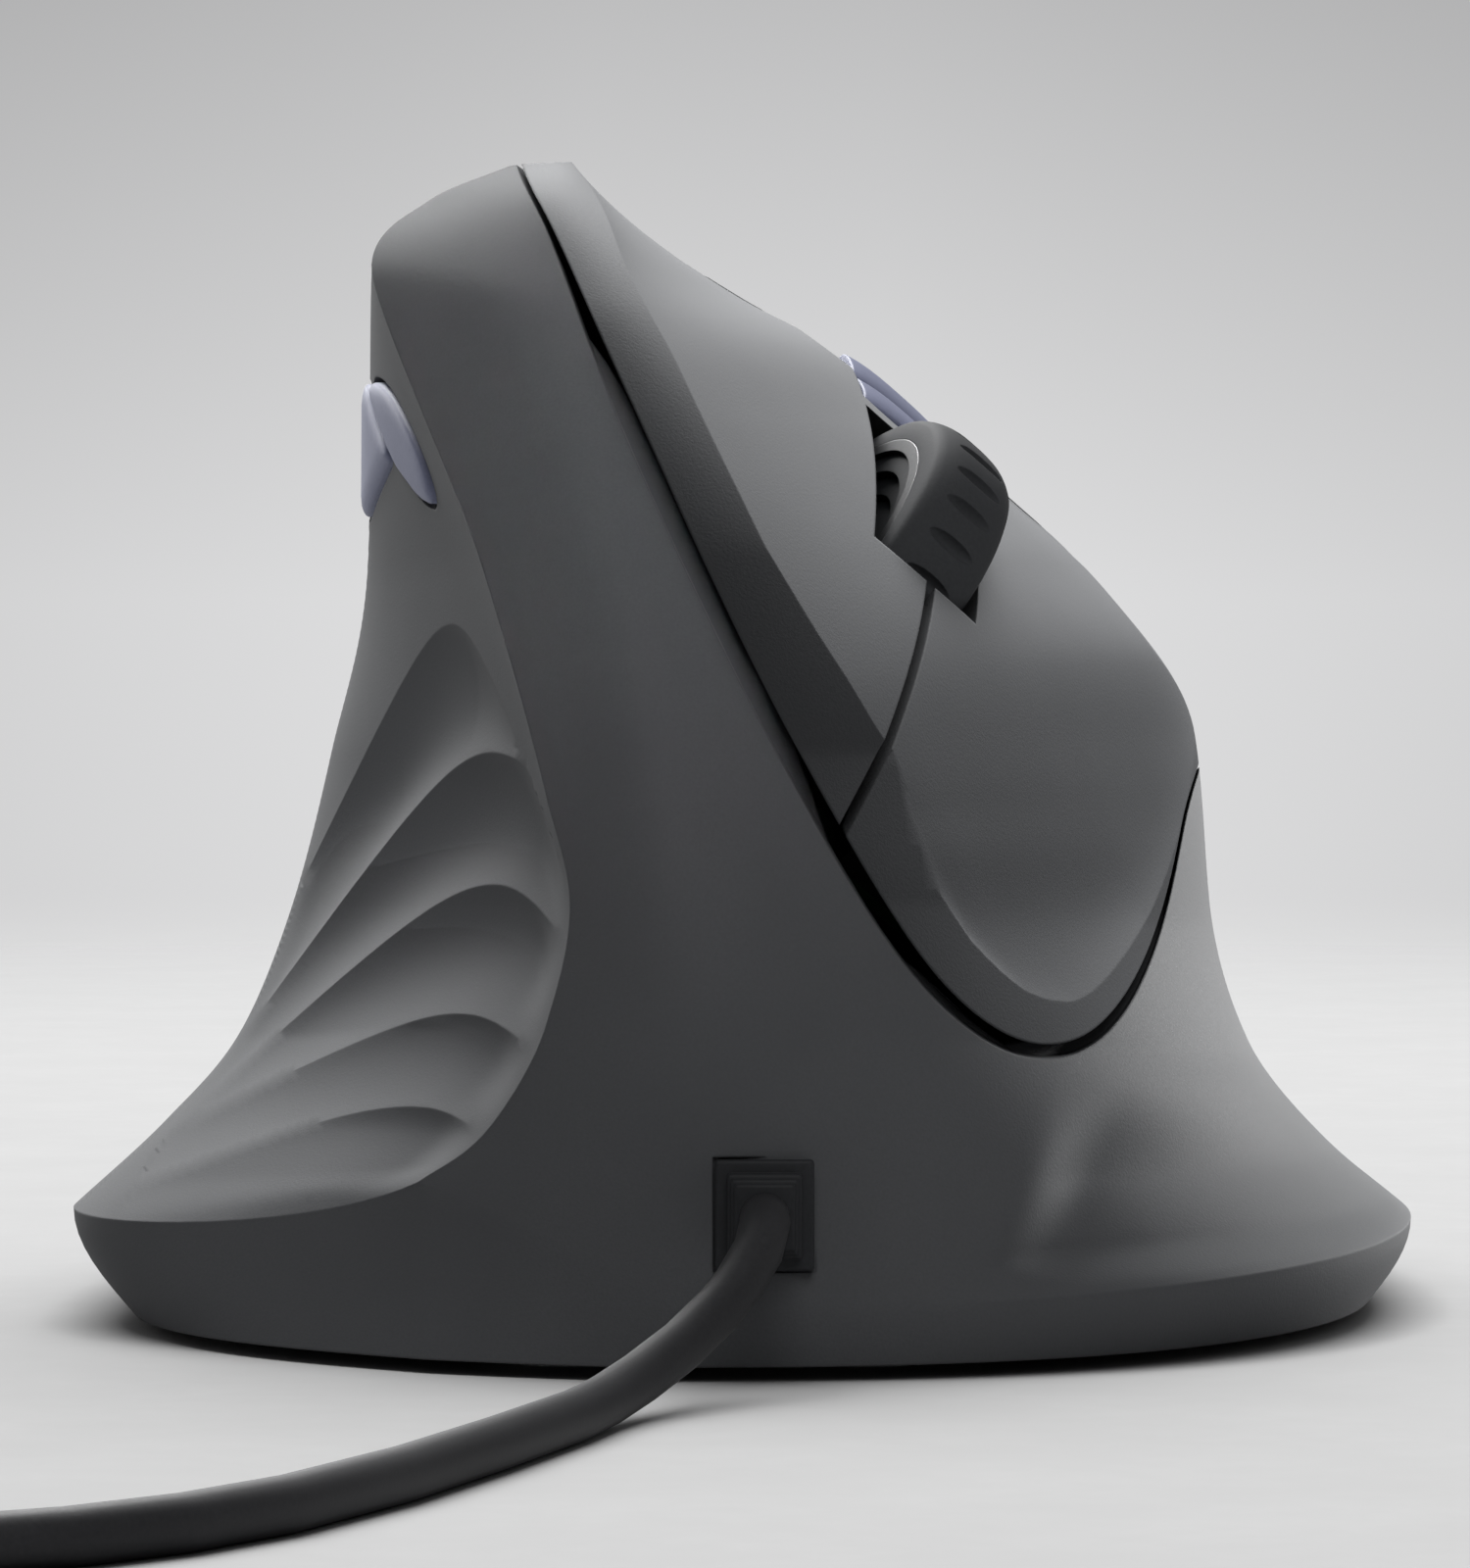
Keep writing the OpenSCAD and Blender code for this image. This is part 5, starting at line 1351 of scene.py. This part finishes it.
@dataclass
class Cord:
    """Cord from the gland to a tied coil and its plug, in millimetres."""

    finishes: Finishes
    diameter: float = 2.9
    coil_gap: float = 0.5
    coil_in: float = 11.2
    coil_at: tuple[float, float] = (-64.0, -125.0)
    tie_w: float = 8.0
    tie_t: float = 0.6
    turns: float = 13.25
    steps: int = 24
    plug_x: float = -87.4
    plug_y: float = -99.0
    plug_z: float = 4.3
    neck_half: float = 2.7
    grip_half: tuple[float, float] = (7.7, 4.1)
    grip_end: float = 23.0
    shell_half: tuple[float, float] = (6.0, 2.25)
    shell_end: float = 35.0
    mouth_half: tuple[float, float] = (5.7, 1.95)
    contact_step: float = 2.3

    def route(self) -> Array:
        """Points of the whole route, gland to plug."""
        pitch = self.diameter + self.coil_gap
        out = self.coil_in + 3 * pitch
        low = self.diameter / 2
        lift_z = low + self.tie_t + 0.3
        lead = [(0.7, -59.5, 9.6), (0.7, -62.4, 9.6), (0.3, -64.6, 8.2), (-0.8, -66.6, 6.5), (-2, -68.8, 5.2),
                (-4, -72.4, 3.6), (-6.2, -76.6, 2.3), (-8, -81.6, 1.6), (-9.6, -88, low), (-13.4, -101, low),
                (-17.6, -114, low), (-22.6, -126, low), (-27, -133, low), (-32, -138.2, low), (-38, -142, low),
                (-45, -144.6, low), (-53, -146, 1.7), (-60, self.coil_at[1] - out, lift_z)]
        coil = []
        for i in range(int(self.turns * self.steps) + 1):
            a = i / self.steps
            layer = sum(float(smooth((a - start) * 2)) for start in (3, 6.5, 10))
            turn = math.radians(-90 - 360 * a)
            r = self.radius(a, out)
            coil.append((self.coil_at[0] + r * math.cos(turn), self.coil_at[1] + r * math.sin(turn),
                         lift_z + pitch * layer))
        tail = [(-84.7, -121.2, 12.6), (-85.3, -117, 12.4), (-86.2, -112.8, 11), (-86.9, -109, 8.4),
                (self.plug_x, -105.6, 5.6), (self.plug_x, -102.2, self.plug_z),
                (self.plug_x, self.plug_y, self.plug_z)]
        return np.array(lead + coil + tail)

    def radius(self, a: float, out: float) -> float:
        """Radius of the coil after so many turns."""
        layer, b = divmod(a, 3.5)
        start, end = (self.coil_in, out) if layer % 2 else (out, self.coil_in)
        if b < 3:
            return lift(start, end, b / 3)
        return end + math.copysign(0.5, end - start) * math.sin(math.radians((b - 3) * 360))

    def build(self) -> None:
        path = self.route() * MM
        curve = bpy.data.curves.new("cord_sheath", "CURVE")
        curve.dimensions = "3D"
        curve.bevel_depth = self.diameter / 2 * MM
        curve.bevel_resolution = 6
        curve.use_fill_caps = True
        spline = curve.splines.new("POLY")
        spline.points.add(len(path) - 1)
        for point, place in zip(spline.points, path):
            point.co = (*place, 1)
        spline.use_smooth = True
        cord = linked("cord_sheath", curve)
        curve.materials.append(self.finishes.sheath)
        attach(cord, "housing")
        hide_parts("cord", "cord_coil")
        pieces = [self.tie(), *self.plug()]

    def tie(self) -> Obj:
        """Strap round one side of the coil."""
        pitch = self.diameter + self.coil_gap
        high = self.diameter + 3 * pitch + 0.5
        long = self.diameter + 3 * pitch + 1.6
        y = self.coil_at[1] + self.coil_in + 1.5 * pitch
        x = self.coil_at[0]
        outer = rounded(box("coil_strap", (x - self.tie_w / 2, y - long / 2 - self.tie_t, 0.1),
                            (x + self.tie_w / 2, y + long / 2 + self.tie_t, 0.1 + high + 2 * self.tie_t)), 0.5, 3)
        inner = box("hollow", (x - self.tie_w, y - long / 2, 0.1 + self.tie_t),
                    (x + self.tie_w, y + long / 2, 0.1 + self.tie_t + high))
        return settle(meet(outer, inner, Cut.AWAY), self.finishes.strap, "housing", ["coil_tie"])

    def plug(self) -> list[Obj]:
        """Grip, shell and tongue of the plug.

        Returns:
            The pieces on the end of the cord.
        """
        x, y, z = self.plug_x, self.plug_y, self.plug_z
        (gw, gh), (sw, sh), (mw, mh) = self.grip_half, self.shell_half, self.mouth_half
        n, end, tip = self.neck_half, y + self.grip_end, y + self.shell_end
        neck = rounded(box("grip", (x - n, y, z - n), (x + n, y + 6, z + n)), 1.2, 4)
        grip = rounded(box("grip_body", (x - gw, y + 5, z - gh), (x + gw, end, z + gh)), 1.6, 5)
        grip = meet(grip, neck, Cut.ADDED)
        for i in range(4):
            for side in (-1, 1):
                low, edge = y + 9 + 2.4 * i, x + side * gw
                meet(grip, box("groove", (edge - 0.45, low, z - 5), (edge + 0.45, low + 1.1, z + 5)), Cut.AWAY)
        shell = rounded(box("shell", (x - sw, end, z - sh), (x + sw, tip, z + sh)), 0.35, 3)
        meet(shell, box("mouth", (x - mw, y + 23.4, z - mh), (x + mw, y + 36, z + mh)), Cut.AWAY)
        for side in (-3, 3):
            meet(shell, box("latch", (x + side - 1, y + 28, z - 4), (x + side + 1, y + 30, z + 4)), Cut.AWAY)
        tongue = rounded(box("tongue", (x - 5.6, y + 23.5, z - 1.85), (x + 5.6, y + 34.5, z - 0.05)), 0.15, 2)
        rows = [x + i * self.contact_step for i in (-1.5, -0.5, 0.5, 1.5)]
        contacts = [box("contact", (c - 0.55, y + 25, z - 0.05), (c + 0.55, y + 33.6, z + 0.06)) for c in rows]
        contacts = [rounded(contact, 0.03, 2) for contact in contacts]
        return [settle(grip, self.finishes.gland, "housing", ["plug_grip"]),
                settle(shell, self.finishes.plug, "housing", ["plug_shell"]),
                settle(tongue, self.finishes.tongue, "housing", ["plug_tongue"]),
                settle(join("contacts", contacts), self.finishes.contact, "housing")]


class Reach(Enum):
    """What a lamp lights: a linking state and the objects it is set for."""

    FLOOR = ("INCLUDE", ("floor",))
    PIECES = ("EXCLUDE", ("floor",))
    KEYS = ("INCLUDE", ("upper_key_cap", "lower_key_cap"))
    SHELL = ("INCLUDE", ("body_shell", "palm_rest"))
    FRONT = ("EXCLUDE", ("floor", "upper_key_cap", "lower_key_cap"))

    def group(self) -> bpy.types.Collection:
        """Make the collection that a lamp is linked to."""
        state, names = self.value
        group = bpy.data.collections.new("reach_" + self.name.lower())
        for name in names:
            group.objects.link(bpy.data.objects[name])
        for link in group.collection_objects:
            link.light_linking.link_state = state
        return group


@dataclass(frozen=True)
class Lamp:
    """One soft box: place, size and aim in metres, power in watts, spread in degrees."""

    name: str
    place: Point
    size: Point
    power: float
    reach: Reach
    aim: Point = (0.0, 0.0, 0.03)
    spread: float = 180.0

    def hang(self) -> None:
        """Hang the box so that it looks at its aim."""
        data = bpy.data.lights.new(self.name, "AREA")
        data.shape = "RECTANGLE"
        data.size, data.size_y = self.size
        data.energy = self.power
        data.spread = math.radians(self.spread)
        data.cycles.use_multiple_importance_sampling = False
        lamp = linked(self.name, data)
        lamp.location = self.place
        lamp.rotation_euler = (Vector(self.aim) - Vector(self.place)).to_track_quat("-Z", "Y").to_euler()
        lamp.light_linking.receiver_collection = self.reach.group()


@dataclass
class Studio:
    """Camera, floor and soft light."""

    finishes: Finishes
    eye: tuple[float, float, float] = (-0.001, -0.477, 0.045)
    down: float = 1.454
    lens: float = 168.2
    lamps: Sequence[Lamp] = (
        Lamp("floor_box", (0.0, 0.35, 0.95), (1.2, 1.2), 21.0, Reach.FLOOR),
        Lamp("main_box", (-0.18, 0.65, 0.8), (0.5, 0.5), 21.0, Reach.PIECES),
        Lamp("key_box", (0.3, 0.5, 0.82), (0.5, 0.5), 26.0, Reach.KEYS),
        Lamp("left_box", (-0.5, 0.8, 0.36), (0.3, 0.4), 4.0, Reach.PIECES),
        Lamp("right_box", (0.62, 0.68, 0.2), (0.3, 0.2), 13.0, Reach.SHELL),
        Lamp("nose_box", (-0.05, -0.3, 0.2), (0.05, 0.05), 0.004, Reach.SHELL, (-0.009, -0.036, 0.055), 10.0),
        Lamp("front_box", (0.1, -0.75, 0.8), (0.6, 0.6), 5.0, Reach.FRONT))

    def camera(self) -> None:
        """Set the camera at the height and distance of the view."""
        data = bpy.data.cameras.new("camera")
        data.lens = self.lens
        data.sensor_width = 36.0
        data.clip_start = 0.01
        data.clip_end = 50.0
        camera = linked("camera", data)
        camera.location = self.eye
        camera.rotation_euler = (math.radians(90 - self.down), 0, 0)
        bpy.context.scene.camera = camera

    def build(self) -> None:
        """Lay the floor, hang the lights and paint the studio round them."""
        clear_selection()
        bpy.ops.mesh.primitive_plane_add(size=8)
        floor = bpy.context.object
        floor.name = "floor"
        floor.data.materials.append(self.finishes.floor)
        for lamp in self.lamps:
            lamp.hang()
        world = bpy.data.worlds.new("studio")
        world.use_nodes = True
        tree = world.node_tree
        way = add_node(tree, "TexCoord", {}).outputs["Generated"]
        split = add_node(tree, "SeparateXYZ", {"Vector": way})
        depth = ramp(tree, split.outputs["Y"], (-1.0, 0.9), (0.06, 0.775))
        fade = ramp(tree, split.outputs["Z"], (0.0, 0.09), (1.0, 0.655))
        edge = ramp(tree, calc(tree, "ABSOLUTE", split.outputs["X"]), (0.02, 0.12), (1.0, 0.84))
        total = calc(tree, "MULTIPLY", depth, calc(tree, "MULTIPLY", fade, edge))
        connect(tree, tree.nodes["Background"], {"Strength": total, "Color": linear("#fbfbfc")})
        bpy.context.scene.world = world
        bpy.context.scene.view_settings.view_transform = "Standard"


@dataclass
class Insides:
    """Solids that keep their CAD shape and get their finish."""

    finishes: Finishes
    dressed: dict[str, Sequence[str]] = field(default_factory=lambda: {
        "base": ("base_plate",), "glide": ("glide_feet",),
        "screw": ("base_screws", "frame_screws", "key_board_screws", "board_screws", "hinge_rod"),
        "inner": ("upper_key_hinge", "lower_key_hinge", "inner_frame", "wheel_carrier"),
        "switch": ("upper_switch", "lower_switch", "wheel_switch", "encoder_body", "dpi_switches",
                   "side_switches"),
        "plunger": ("upper_plunger", "lower_plunger"), "board": ("key_board", "side_board", "main_board"),
        "chip": ("controller_chip", "sensor_chip"), "lens": ("sensor_lens", "sensor_led"),
        "socket": ("cord_socket",), "ribbon": ("board_ribbon",), "sheath": ("inner_lead",)})

    def build(self) -> None:
        """Give every kept solid its material."""
        for finish, nodes in self.dressed.items():
            for node in nodes:
                for place in frame["nodes"][node].material_slots:
                    place.material = getattr(self.finishes, finish)


def main() -> None:
    """Build every piece in order, the camera and the cord first."""
    logging.basicConfig(level=logging.INFO, format="%(name)s %(message)s")
    finishes = Finishes()
    studio = Studio(finishes)
    studio.camera()
    Cord(finishes).build()
    deck = DeckAxes()
    housing = Housing(BodyForm(), deck, finishes)
    thumb = ThumbButtons(housing)
    housing.build(thumb.windows())
    Keys(housing).build()
    thumb.build()
    ScrollWheel(deck, finishes).build()
    SpeedButtons(deck, finishes).build()
    Gland(housing).build()
    Insides(finishes).build()
    studio.build()


if __name__ == "__main__":
    main()
